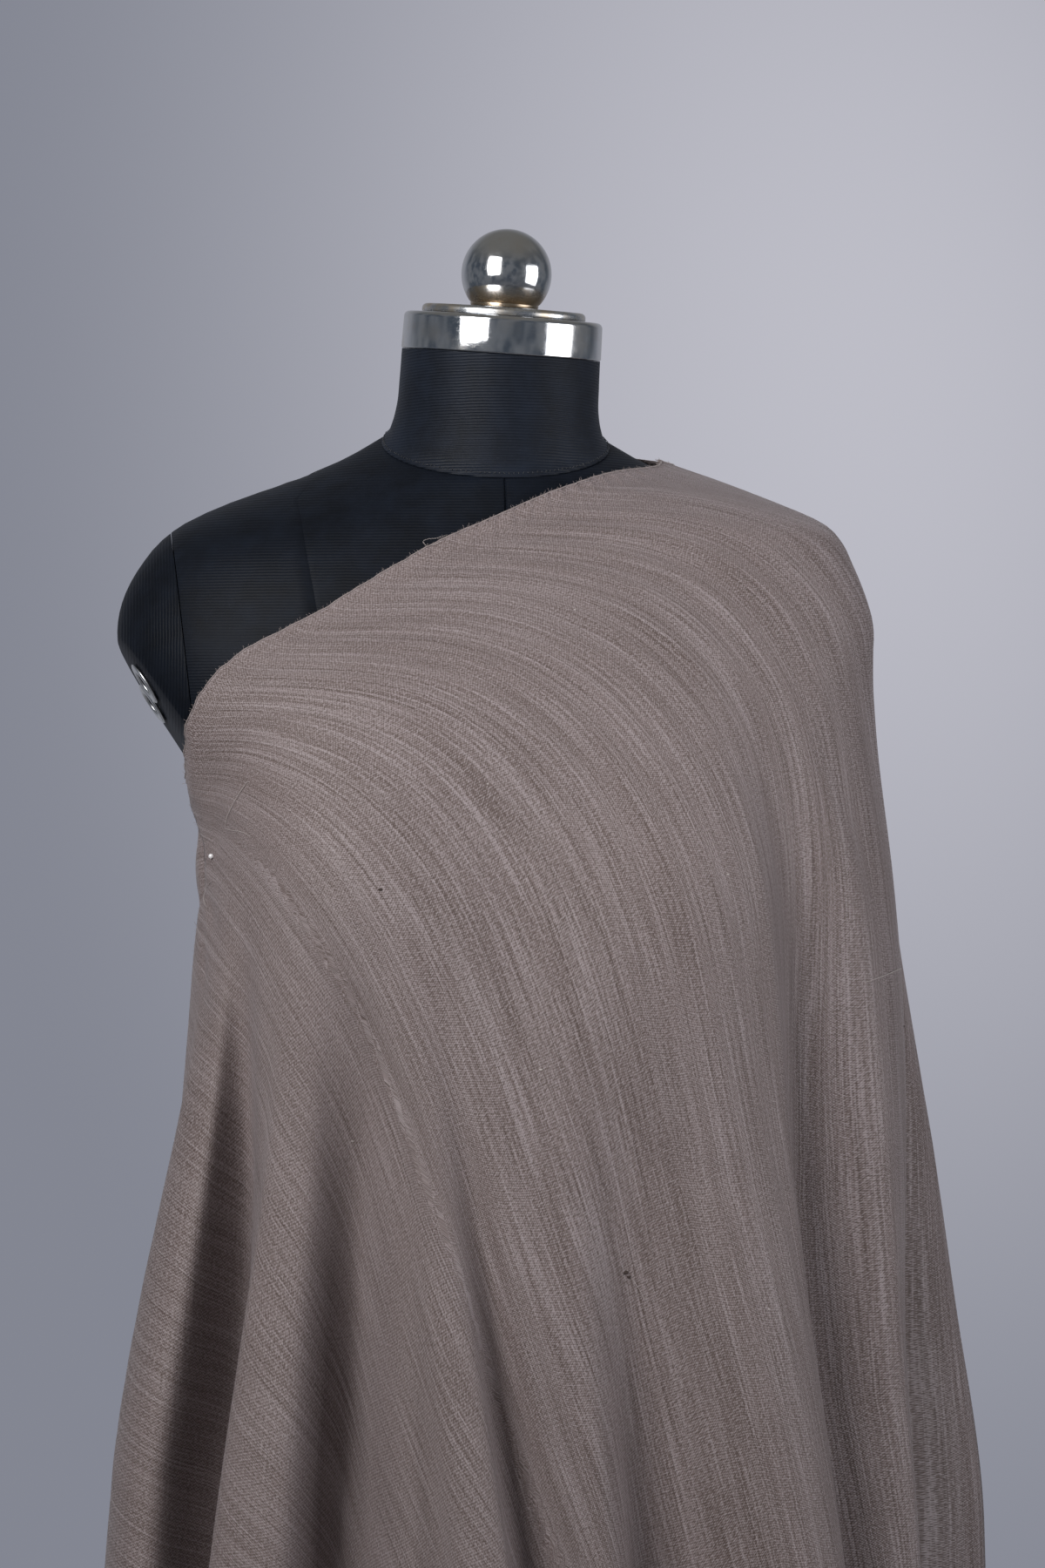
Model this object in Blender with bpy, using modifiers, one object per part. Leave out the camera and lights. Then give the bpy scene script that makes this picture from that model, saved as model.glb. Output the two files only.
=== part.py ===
"""A long woven stole draped over one shoulder of a limbless dress form on its stand.

World axes: +Z up, the form faces -Y, its own left shoulder (which carries the stole) is at +X.
Metres. Azimuths are in degrees about the form's upright axis: 0 is the +X side, -90 the front,
+90 the back and 180 the -X side.
"""

import math
from collections import namedtuple

import bmesh
import bpy
import numpy as np
from mathutils import Matrix, Vector
from mathutils.bvhtree import BVHTree

# ---------------------------------------------------------------- driving sizes
CLOTH_WALL = 0.0016
FIT_GAP = 0.0003
SEAT_GAP = 0.0007
LAP_STEP = 0.0042
PARTING_AZIMUTH = 8.0
PARTING_MARGIN = 4.0
NECK_RADIUS = 0.0546
CAP_CENTRE = (0.0027, -0.0045, 1.4360)
CAP_TILT_SIDE = math.radians(3.4)
CAP_TILT_FRONT = math.radians(6.0)
CAP_RADIUS = 0.0550
CAP_HEIGHT = 0.0204
PLATE_RADIUS = 0.0450
PLATE_HEIGHT = 0.0044
KNOB_RADIUS = 0.0248
KNOB_CENTRE = 0.0183
ARMHOLE_LOW = (0.1646, 0.0, 1.2150)
ARMHOLE_HIGH = (0.1780, 0.0, 1.3360)
ARM_FACE_LOW = (0.1680, 0.0, 1.2180)
ARM_FACE_HIGH = (0.2060, 0.0, 1.2755)
ARM_FACE_TOE = 0.10
EYELET_RADIUS = 0.0125
EYELET_HOLE = 0.0070
NECK_COLUMNS = 40
BASE_RADIUS = 0.180
BASE_HEIGHT = 0.012
POLE_RADIUS = 0.0160
FLANGE_RADIUS = 0.060
FLANGE_HEIGHT = 0.008

# ---------------------------------------------------------------- tables
# One row for each level of the padded torso. tilt lifts a ring towards the back.
Section = namedtuple("Section", "level right left front back squareness tilt")
BODY = [
    Section(0.660, 0.148, 0.148, 0.096, 0.108, 2.2, 0.00),
    Section(0.700, 0.157, 0.157, 0.103, 0.117, 2.2, 0.00),
    Section(0.780, 0.162, 0.162, 0.106, 0.124, 2.2, 0.00),
    Section(0.870, 0.150, 0.150, 0.101, 0.106, 2.2, 0.00),
    Section(0.975, 0.126, 0.126, 0.092, 0.084, 2.2, 0.00),
    Section(1.050, 0.140, 0.140, 0.106, 0.092, 2.2, 0.00),
    Section(1.135, 0.153, 0.153, 0.116, 0.104, 2.2, 0.00),
    Section(1.185, 0.161, 0.161, 0.113, 0.110, 2.3, 0.01),
    Section(1.215, 0.176, 0.176, 0.109, 0.112, 2.4, 0.03),
    Section(1.250, 0.198, 0.198, 0.102, 0.111, 2.4, 0.07),
    Section(1.283, 0.2075, 0.2075, 0.095, 0.108, 2.4, 0.11),
    Section(1.304, 0.2030, 0.2030, 0.090, 0.104, 2.4, 0.14),
    Section(1.3205, 0.1935, 0.1935, 0.086, 0.100, 2.4, 0.16),
    Section(1.3320, 0.1835, 0.1835, 0.082, 0.096, 2.4, 0.18),
    Section(1.3405, 0.1720, 0.1720, 0.079, 0.092, 2.3, 0.19),
    Section(1.3510, 0.1490, 0.1490, 0.075, 0.086, 2.2, 0.21),
    Section(1.3610, 0.1200, 0.1200, 0.071, 0.079, 2.1, 0.24),
    Section(1.3725, 0.0900, 0.0900, 0.067, 0.070, 2.0, 0.29),
    Section(1.3860, 0.0630, 0.0630, 0.061, 0.060, 2.0, 0.37),
]
# The stole's rings: on the form down to the bust, then hanging free of it.
DRAPE = [
    Section(0.250, 0.243, 0.213, 0.166, 0.158, 2.2, 0.00),
    Section(0.660, 0.238, 0.199, 0.160, 0.152, 2.2, 0.00),
    Section(0.780, 0.236, 0.190, 0.155, 0.149, 2.2, 0.00),
    Section(0.900, 0.2290, 0.180, 0.150, 0.143, 2.2, 0.00),
    Section(1.010, 0.2295, 0.171, 0.144, 0.135, 2.2, 0.00),
    Section(1.085, 0.2262, 0.165, 0.140, 0.127, 2.25, 0.00),
    Section(1.150, 0.2195, 0.161, 0.134, 0.121, 2.3, 0.01),
    Section(1.185, 0.2150, 0.162, 0.127, 0.118, 2.3, 0.015),
    Section(1.215, 0.2115, 0.1645, 0.121, 0.117, 2.3, 0.03),
    Section(1.250, 0.2090, 0.1770, 0.112, 0.115, 2.3, 0.07),
    Section(1.283, 0.2075, 0.1940, 0.101, 0.112, 2.3, 0.11),
    Section(1.308, 0.2032, 0.199, 0.0935, 0.1060, 2.3, 0.14),
    Section(1.3235, 0.1975, 0.193, 0.0890, 0.1020, 2.3, 0.16),
    Section(1.3350, 0.1920, 0.184, 0.0850, 0.0980, 2.3, 0.18),
    Section(1.3435, 0.1840, 0.173, 0.0820, 0.0940, 2.3, 0.19),
    Section(1.3540, 0.1595, 0.150, 0.0780, 0.0880, 2.2, 0.21),
    Section(1.3640, 0.1315, 0.121, 0.0740, 0.0810, 2.1, 0.24),
    Section(1.3755, 0.0950, 0.091, 0.0700, 0.0720, 2.0, 0.29),
    Section(1.3890, 0.0640, 0.064, 0.0640, 0.0620, 2.0, 0.37),
]
# The bust of the form, as two soft mounds on the front.
Mound = namedtuple("Mound", "across level height reach_side reach_up reach_down")
FORM_MOUNDS = [
    Mound(0.083, 1.140, 0.020, 0.046, 0.062, 0.040),
    Mound(-0.083, 1.140, 0.020, 0.046, 0.062, 0.040),
]
DRAPE_MOUNDS = [
    Mound(0.083, 1.140, 0.013, 0.050, 0.070, 0.110),
    Mound(-0.083, 1.140, 0.014, 0.050, 0.070, 0.110),
]
# One row for each large fold of the hanging cloth. A fold fades in below start_level and is fully
# grown at grown_level; height is how far its crest stands out (negative for a trough), widths and
# azimuths are in degrees. Lean carries the crest sideways and bulge rounds it out to both sides,
# both in parts of the height.
Fold = namedtuple(
    "Fold",
    "name start_level grown_level start_azimuth grown_azimuth start_width grown_width height lean bulge",
)
FOLDS = [
    Fold("side_roll", 1.160, 0.900, -156.0, -166.0, 8.0, 13.0, 0.024, 0.90, 0.75),
    Fold("side_trough", 1.160, 0.930, -146.0, -151.0, 6.0, 9.0, -0.026, 0.70, 0.00),
    Fold("bust_lobe", 1.170, 0.790, -133.0, -137.0, 8.0, 10.0, 0.022, -0.15, 0.55),
    Fold("bust_trough", 1.150, 0.820, -122.0, -122.0, 10.0, 13.0, -0.037, 0.50, 0.00),
    Fold("middle_ridge", 1.110, 0.790, -113.0, -98.0, 7.0, 8.0, 0.012, 0.60, 0.40),
    Fold("middle_trough", 1.080, 0.790, -102.0, -88.0, 5.0, 7.0, -0.014, 0.00, 0.00),
    Fold("front_trough", 1.060, 0.790, -70.0, -55.0, 12.0, 13.0, -0.026, 0.00, 0.00),
    Fold("front_ridge", 1.190, 0.820, -54.0, -41.0, 14.0, 11.0, 0.015, 0.00, 0.30),
    Fold("arm_trough", 1.290, 0.920, -38.0, -29.0, 11.0, 10.0, -0.027, 0.00, 0.00),
    Fold("arm_ridge", 1.210, 0.820, -20.0, -20.0, 8.0, 9.0, 0.007, 0.50, 0.00),
    Fold("side_gap", 1.180, 0.790, -4.0, -6.0, 6.0, 9.0, -0.046, 0.00, 0.00),
    Fold("shoulder_roll", 1.200, 0.860, 7.0, 9.0, 11.0, 12.0, 0.046, 0.00, 0.00),
    Fold("back_trough_1", 1.240, 0.820, 30.0, 27.0, 12.0, 12.0, -0.028, 0.00, 0.00),
    Fold("back_ridge_1", 1.120, 0.790, 50.0, 47.0, 12.0, 10.0, 0.022, 0.00, 0.40),
    Fold("back_trough_2", 1.090, 0.790, 68.0, 65.0, 10.0, 10.0, -0.020, 0.00, 0.00),
    Fold("back_ridge_2", 1.080, 0.790, 86.0, 84.0, 11.0, 10.0, 0.018, 0.30, 0.40),
    Fold("back_trough_3", 1.060, 0.790, 104.0, 104.0, 10.0, 10.0, -0.022, 0.00, 0.00),
    Fold("back_ridge_3", 1.120, 0.790, 124.0, 126.0, 12.0, 11.0, 0.024, -0.30, 0.40),
    Fold("back_trough_4", 1.100, 0.790, 142.0, 143.0, 9.0, 9.0, -0.026, 0.00, 0.00),
]
# The inner long edge of the stole on the chest and on the back, and the hem, by azimuth.
EdgePoint = namedtuple("EdgePoint", "azimuth level")
FRONT_NECKLINE = [
    EdgePoint(8.0, 1.3765),
    EdgePoint(-5.0, 1.3778),
    EdgePoint(-15.0, 1.3798),
    EdgePoint(-30.0, 1.3826),
    EdgePoint(-50.0, 1.3824),
    EdgePoint(-60.0, 1.3800),
    EdgePoint(-70.0, 1.3762),
    EdgePoint(-80.0, 1.3701),
    EdgePoint(-90.0, 1.3629),
    EdgePoint(-100.0, 1.3556),
    EdgePoint(-110.0, 1.3481),
    EdgePoint(-120.0, 1.3378),
    EdgePoint(-130.0, 1.3218),
    EdgePoint(-140.0, 1.3004),
    EdgePoint(-150.0, 1.2790),
    EdgePoint(-155.0, 1.2660),
    EdgePoint(-160.0, 1.2515),
    EdgePoint(-165.0, 1.2350),
    EdgePoint(-168.5, 1.2215),
    EdgePoint(-172.0, 1.2110),
    EdgePoint(-177.0, 1.2050),
    EdgePoint(-184.0, 1.2010),
]
FRONT_HEM = [
    EdgePoint(8.0, 0.7450),
    EdgePoint(-30.0, 0.7350),
    EdgePoint(-50.0, 0.7050),
    EdgePoint(-60.0, 0.6650),
    EdgePoint(-68.0, 0.5800),
    EdgePoint(-76.0, 0.4400),
    EdgePoint(-84.0, 0.2700),
    EdgePoint(-91.0, 0.1400),
    EdgePoint(-96.0, 0.1050),
    EdgePoint(-104.0, 0.1500),
    EdgePoint(-120.0, 0.2700),
    EdgePoint(-140.0, 0.4000),
    EdgePoint(-160.0, 0.5200),
    EdgePoint(-175.0, 0.6200),
    EdgePoint(-184.0, 0.6650),
]
BACK_NECKLINE = [
    EdgePoint(8.0, 1.3765),
    EdgePoint(18.0, 1.3785),
    EdgePoint(30.0, 1.3800),
    EdgePoint(50.0, 1.3765),
    EdgePoint(70.0, 1.3690),
    EdgePoint(90.0, 1.3570),
    EdgePoint(105.0, 1.3440),
    EdgePoint(120.0, 1.3240),
    EdgePoint(135.0, 1.2980),
    EdgePoint(148.0, 1.2640),
    EdgePoint(156.0, 1.2420),
    EdgePoint(163.0, 1.2200),
    EdgePoint(169.0, 1.2050),
    EdgePoint(177.0, 1.1980),
    EdgePoint(190.0, 1.1940),
]
BACK_HEM = [
    EdgePoint(8.0, 0.7450),
    EdgePoint(30.0, 0.7350),
    EdgePoint(50.0, 0.7000),
    EdgePoint(62.0, 0.6500),
    EdgePoint(70.0, 0.5600),
    EdgePoint(78.0, 0.4200),
    EdgePoint(86.0, 0.2600),
    EdgePoint(93.0, 0.1450),
    EdgePoint(98.0, 0.1150),
    EdgePoint(107.0, 0.1700),
    EdgePoint(125.0, 0.2900),
    EdgePoint(145.0, 0.4200),
    EdgePoint(165.0, 0.5450),
    EdgePoint(180.0, 0.6400),
    EdgePoint(190.0, 0.6800),
]
# How far round each stretch reaches at the -X side, by level. The pin draws the front edge in.
SideEdge = namedtuple("SideEdge", "level front back")
SIDE_EDGES = [
    SideEdge(0.640, -178.0, 182.0),
    SideEdge(0.760, -183.0, 184.5),
    SideEdge(0.880, -187.0, 184.5),
    SideEdge(1.000, -185.0, 184.5),
    SideEdge(1.090, -184.0, 190.0),
    SideEdge(1.130, -178.5, 194.0),
    SideEdge(1.160, -174.0, 195.0),
    SideEdge(1.185, -178.0, 194.0),
    SideEdge(1.215, -184.0, 191.0),
]
PIN_PULL_START = 0.86
FRONT_COLUMNS, FRONT_ROWS = 62, 22
BACK_COLUMNS, BACK_ROWS = 46, 22
BODY_COLUMNS = 40
# Rings of the neck from its seam (share 0) to the metal cap (share 1), drawn in by a small depth.
NECK_RINGS = [
    (0.0, 0.0),
    (0.04, 0.0008),
    (0.10, 0.0026),
    (0.20, 0.0036),
    (0.40, 0.0040),
    (0.70, 0.0022),
    (1.0, 0.0),
]
# Eyelets on the arm end: name, how far back, how far up the face.
EYELETS = [("front", -0.0115, 0.0440), ("rear", 0.0130, 0.0330)]


# ---------------------------------------------------------------- reading the tables
def smooth(rows, key, value, at):
    """The table's value column at any key, on a smooth curve through its rows."""
    keys = np.array([getattr(row, key) for row in rows])
    values = np.array([getattr(row, value) for row in rows])
    order = np.argsort(keys)
    keys, values = keys[order], values[order]
    slopes = np.gradient(values, keys)
    at = np.clip(at, keys[0], keys[-1])
    i = np.clip(np.searchsorted(keys, at) - 1, 0, len(keys) - 2)
    span = keys[i + 1] - keys[i]
    t = (at - keys[i]) / span
    return (
        (1 + 2 * t) * (1 - t) ** 2 * values[i]
        + t * (1 - t) ** 2 * span * slopes[i]
        + t**2 * (3 - 2 * t) * values[i + 1]
        + t**2 * (t - 1) * span * slopes[i + 1]
    )


def ease(x):
    """0 below 0, 1 above 1, and a soft step between."""
    x = np.clip(x, 0.0, 1.0)
    return x * x * (3 - 2 * x)


def ring_point(sections, mounds, azimuth, level):
    """Points of a body whose level rings are superellipses with different front, back and sides."""
    a = np.radians(azimuth)
    across = np.where(
        np.cos(a) > 0, smooth(sections, "level", "right", level), smooth(sections, "level", "left", level)
    )
    deep = np.where(
        np.sin(a) < 0, smooth(sections, "level", "front", level), smooth(sections, "level", "back", level)
    )
    power = smooth(sections, "level", "squareness", level)
    radius = (np.abs(np.cos(a) / across) ** power + np.abs(np.sin(a) / deep) ** power) ** (-1 / power)
    for mound in mounds:
        aside = (radius * np.cos(a) - mound.across) / mound.reach_side
        reach = np.where(level > mound.level, mound.reach_up, mound.reach_down)
        up = (level - mound.level) / reach
        front = ease(-np.sin(a) * 2.0)
        radius = radius + mound.height * front * np.exp(-(aside**2) - up**2)
    return radius, a


def placed(radius, a, level, tilt):
    x, y = radius * np.cos(a), radius * np.sin(a)
    return np.stack([x, y, level + tilt * y], axis=-1)


def body_point(azimuth, level):
    """A point of the padded body with both arm stubs, before the armholes are cut."""
    radius, a = ring_point(BODY, FORM_MOUNDS, azimuth, level)
    return placed(radius, a, level, smooth(BODY, "level", "tilt", level))


def drape_point(azimuth, level):
    """A point of the stole's outer face."""
    radius, a = ring_point(DRAPE, DRAPE_MOUNDS, azimuth, level)
    sideways = np.zeros_like(radius)
    for fold in FOLDS:
        grown = (fold.start_level - level) / (fold.start_level - fold.grown_level)
        share = np.clip(grown, 0.0, 1.25)
        size = fold.height * ease(grown / 1.25) * 1.12
        centre = fold.start_azimuth + (fold.grown_azimuth - fold.start_azimuth) * share
        width = fold.start_width + (fold.grown_width - fold.start_width) * share
        off = (azimuth - centre + 180.0) % 360.0 - 180.0
        across = np.clip(off / width, -1.0, 1.0) * math.pi
        shape = 0.5 + 0.5 * np.cos(across)
        radius = radius + size * shape
        sideways = sideways + size * shape * (fold.lean + 1.54 * fold.bulge * np.sin(across))
    points = placed(radius, a, level, smooth(DRAPE, "level", "tilt", level))
    points[..., 0] -= sideways * np.sin(a)
    points[..., 1] += sideways * np.cos(a)
    return points


# ---------------------------------------------------------------- building helpers
def clear_scene():
    for obj in list(bpy.data.objects):
        bpy.data.objects.remove(obj, do_unlink=True)


def new_collection(name):
    collection = bpy.data.collections.new(name)
    bpy.context.scene.collection.children.link(collection)
    return collection


def material(name, colour, roughness, metallic=0.0):
    made = bpy.data.materials.new(name)
    made.use_nodes = True
    shader = made.node_tree.nodes["Principled BSDF"]
    shader.inputs["Base Color"].default_value = (*colour, 1.0)
    shader.inputs["Roughness"].default_value = roughness
    shader.inputs["Metallic"].default_value = metallic
    return made


def add_object(name, mesh, collection, finish):
    obj = bpy.data.objects.new(name, mesh)
    mesh.materials.append(finish)
    collection.objects.link(obj)
    return obj


def grid_mesh(name, points, closed_round=False, capped=False):
    """A mesh over a grid of points, rows by columns. Capped fills the first and last rows."""
    rows, columns = points.shape[:2]
    made = bmesh.new()
    verts = [[made.verts.new(p) for p in row] for row in points]
    last = columns if closed_round else columns - 1
    for i in range(rows - 1):
        for j in range(last):
            k = (j + 1) % columns
            made.faces.new((verts[i][j], verts[i][k], verts[i + 1][k], verts[i + 1][j]))
    if capped:
        made.faces.new(verts[0])
        made.faces.new(list(reversed(verts[-1])))
    bmesh.ops.recalc_face_normals(made, faces=made.faces)
    bmesh.ops.triangulate(made, faces=made.faces)
    mesh = bpy.data.meshes.new(name)
    made.to_mesh(mesh)
    made.free()
    mesh.shade_smooth()
    return mesh


def turned(name, profile, collection, finish, steps=48, closed=False):
    """A solid of revolution about its own Z from a profile that runs down its outer side."""
    made = bmesh.new()
    verts = [made.verts.new((r, 0.0, z)) for r, z in profile]
    for a, b in zip(verts, verts[1:]):
        made.edges.new((a, b))
    if closed:
        made.edges.new((verts[-1], verts[0]))
    mesh = bpy.data.meshes.new(name)
    made.to_mesh(mesh)
    made.free()
    obj = add_object(name, mesh, collection, finish)
    screw = obj.modifiers.new("Turn", "SCREW")
    screw.steps = screw.render_steps = steps
    screw.use_merge_vertices = True
    screw.merge_threshold = 0.00005
    screw.use_smooth_shade = True
    screw.use_normal_flip = True
    return obj


def arc(centre_r, centre_z, radius, start, end, count):
    """Profile points on an arc; angles in degrees from straight out, upwards positive."""
    angles = np.radians(np.linspace(start, end, count))
    return [(centre_r + radius * math.cos(t), centre_z + radius * math.sin(t)) for t in angles]


def half_space(name, point, outward, collection, size=0.3):
    """A cutter block whose near face lies in the plane through point; it fills the outward side."""
    made = bmesh.new()
    bmesh.ops.create_cube(made, size=size)
    bmesh.ops.translate(made, verts=made.verts, vec=(0.0, 0.0, size / 2))
    turn = Vector(outward).normalized().to_track_quat("Z", "Y").to_matrix().to_4x4()
    bmesh.ops.transform(made, matrix=Matrix.Translation(point) @ turn, verts=made.verts)
    mesh = bpy.data.meshes.new(name)
    made.to_mesh(mesh)
    made.free()
    cutter = bpy.data.objects.new(name, mesh)
    collection.objects.link(cutter)
    cutter.hide_render = True
    cutter.display_type = "WIRE"
    return cutter


def cut(obj, cutter, operation="DIFFERENCE"):
    step = obj.modifiers.new("Cut", "BOOLEAN")
    step.operation = operation
    step.solver = "EXACT"
    step.object = cutter


# ---------------------------------------------------------------- the stole
def clearance_trees(objects):
    """The finished skins of the form, which the cloth is kept clear of."""
    bpy.context.view_layer.update()
    depsgraph = bpy.context.evaluated_depsgraph_get()
    trees = []
    for obj in objects:
        made = bmesh.new()
        made.from_object(obj, depsgraph)
        bmesh.ops.transform(made, matrix=obj.matrix_world, verts=made.verts)
        bmesh.ops.triangulate(made, faces=made.faces)
        trees.append(BVHTree.FromBMesh(made))
        made.free()
    return trees


def lift_off(p, trees, clear):
    """How far and which way a point must move to stand clear of the form's skin."""
    start = Vector(p)
    p = start.copy()
    for _turn in range(4):
        moved = False
        for tree in trees:
            where, normal, _index, _far = tree.find_nearest(p, 0.04)
            if where is None:
                continue
            off = p - where
            inside = off.dot(normal) < -0.7 * off.length
            if inside or off.length < 1e-6:
                p = where + normal * clear
                moved = True
            elif off.length < clear:
                p = where + off * (clear / off.length)
                moved = True
        if not moved:
            break
    return p - start


def rest_on(points, trees, clear):
    """Lifts the grid's points, and the middles of its cells, off the form's skin."""
    points = points.copy()
    for index in np.ndindex(points.shape[:2]):
        points[index] += lift_off(points[index], trees, clear[index])
    for _turn in range(3):
        for i, j in np.ndindex(points.shape[0] - 1, points.shape[1] - 1):
            cell = points[i:i + 2, j:j + 2]
            cell += np.array(lift_off(cell.reshape(4, 3).mean(axis=0), trees, clear[i, j] + 0.0003))
    return points


def softened(lift, rounds=4):
    """The lifts of a grid of points, spread a little over their neighbours."""
    for _turn in range(rounds):
        wide = np.pad(lift, ((1, 1), (1, 1), (0, 0)), mode="edge")
        near = wide[:-2, 1:-1] + wide[2:, 1:-1] + wide[1:-1, :-2] + wide[1:-1, 2:]
        lift = lift * 0.5 + near * 0.125
    return lift


def cloth_stretch(name, neckline, hem, side, columns, rows, outset, form, collection, cutters, finish):
    """One stretch of the stole, from the shoulder ridge round to the -X side."""
    end_azimuth = neckline[-1].azimuth
    across = np.linspace(0.0, 1.0, columns + 1)
    down = np.linspace(0.0, 1.0, rows + 1)
    down = 0.35 * down + 0.65 * down**1.7
    way = math.copysign(1.0, end_azimuth)
    start_azimuth = PARTING_AZIMUTH - way * PARTING_MARGIN
    azimuth = start_azimuth + (end_azimuth - start_azimuth) * across
    top = smooth(neckline, "azimuth", "level", azimuth)
    bottom = smooth(hem, "azimuth", "level", azimuth)
    level = top + (bottom - top) * down[:, None]
    reach = smooth(SIDE_EDGES, "level", side, level) - end_azimuth
    azimuth = azimuth + reach * ease((across - PIN_PULL_START) / (1 - PIN_PULL_START))
    points = drape_point(azimuth, level)
    lap = ease((np.abs(azimuth) - 159.0) / 9.0)
    a = np.radians(azimuth)
    points[..., 0] += outset * lap * np.cos(a)
    points[..., 1] += outset * lap * np.sin(a)
    clear = CLOTH_WALL + SEAT_GAP + (lap * LAP_STEP if outset > 0 else 0.0 * lap)
    lifted = rest_on(points, form, clear)
    points = rest_on(points + softened(lifted - points), form, clear)
    obj = add_object(name, grid_mesh(name, points), collection, finish)
    face = obj.data.polygons[len(obj.data.polygons) // 2]
    if face.normal.x * face.center.x + face.normal.y * face.center.y < 0:
        obj.data.flip_normals()
    wall = obj.modifiers.new("Wall", "SOLIDIFY")
    wall.thickness = CLOTH_WALL
    wall.offset = -1.0
    wall.use_even_offset = False
    t = math.radians(PARTING_AZIMUTH)
    out = Vector((math.cos(t), math.sin(t), 0.0))
    over = Vector((math.sin(t), -math.cos(t), 0.0)) * way
    middle = out * 0.5 + over * FIT_GAP * -0.6 + Vector((0.0, 0.0, 1.07))
    cut(obj, half_space(name + "_parting", middle, over, cutters, 0.9))
    return obj


# ---------------------------------------------------------------- the dress form
def body_mesh(name):
    first = BODY[0].level
    levels = [row.level for row in BODY]
    steps = [first]
    for low, high in zip(levels, levels[1:]):
        count = max(1, round((high - low) / 0.042))
        steps += list(np.linspace(low, high, count + 1)[1:])
    azimuth = np.linspace(-180.0, 180.0, BODY_COLUMNS, endpoint=False)
    grid_azimuth, grid_level = np.meshgrid(azimuth, np.array(steps))
    return grid_mesh(name, body_point(grid_azimuth, grid_level), True, True)


def make_body(collection, cutters, finish):
    """The torso and the two arm stubs, parted along the armhole seams."""
    torso = add_object("form_torso", body_mesh("form_torso"), collection, finish)
    made = [torso]
    for side, tag in ((-1.0, "right"), (1.0, "left")):
        low, high = Vector(ARMHOLE_LOW), Vector(ARMHOLE_HIGH)
        face_low, face_high = Vector(ARM_FACE_LOW), Vector(ARM_FACE_HIGH)
        for point in (low, high, face_low, face_high):
            point.x *= side
        seam = high - low
        outward = Vector((abs(seam.z) * side, 0.0, -seam.x * side)).normalized()
        face = (face_high - face_low).normalized()
        down = Vector((abs(face.z) * side, -ARM_FACE_TOE, -abs(face.x))).normalized()
        half = outward * FIT_GAP / 2
        cut(torso, half_space("armhole_outside_" + tag, low - half, outward, cutters))
        arm = add_object("arm_cap_" + tag, body_mesh("arm_cap_" + tag), collection, finish)
        cut(arm, half_space("armhole_stub_" + tag, low + half, outward, cutters), "INTERSECT")
        cut(arm, half_space("arm_end_" + tag, face_low, down, cutters))
        made.append(arm)
    return made


def cap_frame():
    """The tilted frame of the metal neck cap: Z along the neck, origin in the neck's top face."""
    lean = Matrix.Rotation(CAP_TILT_FRONT, 4, "X") @ Matrix.Rotation(CAP_TILT_SIDE, 4, "Y")
    return Matrix.Translation(CAP_CENTRE) @ lean


def make_neck(collection, finish):
    frame = cap_frame()
    angles = np.radians(np.linspace(0.0, 360.0, NECK_COLUMNS, endpoint=False))
    base = BODY[-1]
    rings = []
    for share, flare in NECK_RINGS:
        ring = []
        for t in angles:
            upper = frame @ Vector((NECK_RADIUS * math.cos(t), NECK_RADIUS * math.sin(t), 0.0))
            across, deep = math.cos(t), math.sin(t)
            reach = base.right * across, (base.front if deep < 0 else base.back) * deep
            lift = base.level + FIT_GAP * 1.1 + base.tilt * reach[1]
            lower = Vector((reach[0], reach[1], lift))
            point = lower.lerp(upper, share)
            out = Vector((across, deep, 0.0))
            ring.append(point - out * flare)
        rings.append(ring)
    points = np.array(rings)
    return add_object("form_neck", grid_mesh("form_neck", points, True, True), collection, finish)


def make_cap(collection, chrome):
    """The band, the stepped plate and the ball on top of the neck."""
    frame = cap_frame()
    r, h = CAP_RADIUS, CAP_HEIGHT
    band = [(0.0, 0.0), (r - 0.0006, 0.0), (r, 0.0006), (r - 0.0004, h - 0.0030)]
    band += arc(r - 0.0034, h - 0.0030, 0.0030, 10, 90, 5) + [(0.0, h)]
    r, h = PLATE_RADIUS, PLATE_HEIGHT
    plate = [(0.0, 0.0), (r, 0.0), (r, h - 0.0026)] + arc(r - 0.0026, h - 0.0026, 0.0026, 15, 78, 5)
    plate += [(r - 0.0080, h), (0.0, h)]
    r = KNOB_RADIUS
    knob = [(0.0, 0.0), (0.0172, 0.0), (0.0186, 0.0009)]
    knob += arc(0.0, KNOB_CENTRE, r, -39, 90, 14)[:-1] + [(0.0, KNOB_CENTRE + r)]
    lift = FIT_GAP
    for name, profile in (("neck_ring", band), ("cap_plate", plate), ("finial_knob", knob)):
        part = turned(name, profile, collection, chrome, 36)
        part.matrix_world = frame @ Matrix.Translation((0.0, 0.0, lift))
        lift += profile[-1][1] + FIT_GAP


def make_eyelets(collection, chrome):
    """Two metal eyelets on each arm end face."""
    for side, tag in ((-1.0, "right"), (1.0, "left")):
        low, high = Vector(ARM_FACE_LOW), Vector(ARM_FACE_HIGH)
        along = (high - low).normalized()
        down = Vector((abs(along.z), -ARM_FACE_TOE, -abs(along.x))).normalized()
        for point in (low, high, along, down):
            point.x *= side
        down.x = abs(down.x) * side
        for name, across, up in EYELETS:
            deep = down.cross(along).normalized()
            if deep.y < 0:
                deep.negate()
            centre = low + along * up + deep * across
            centre -= down * (centre - low).dot(down)
            r = EYELET_RADIUS
            hole = EYELET_HOLE
            mid = (r + hole) / 2
            wide = (r - hole) / 2
            rim = [(mid + wide * math.cos(t), 0.0011 + 0.0011 * math.sin(t))
                   for t in np.radians(np.linspace(0, 360, 8, endpoint=False))]
            part = turned("eyelet_" + tag + "_" + name, rim, collection, chrome, 20, True)
            turn = down.to_track_quat("Z", "Y").to_matrix().to_4x4()
            part.matrix_world = Matrix.Translation(centre + down * FIT_GAP) @ turn


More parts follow.
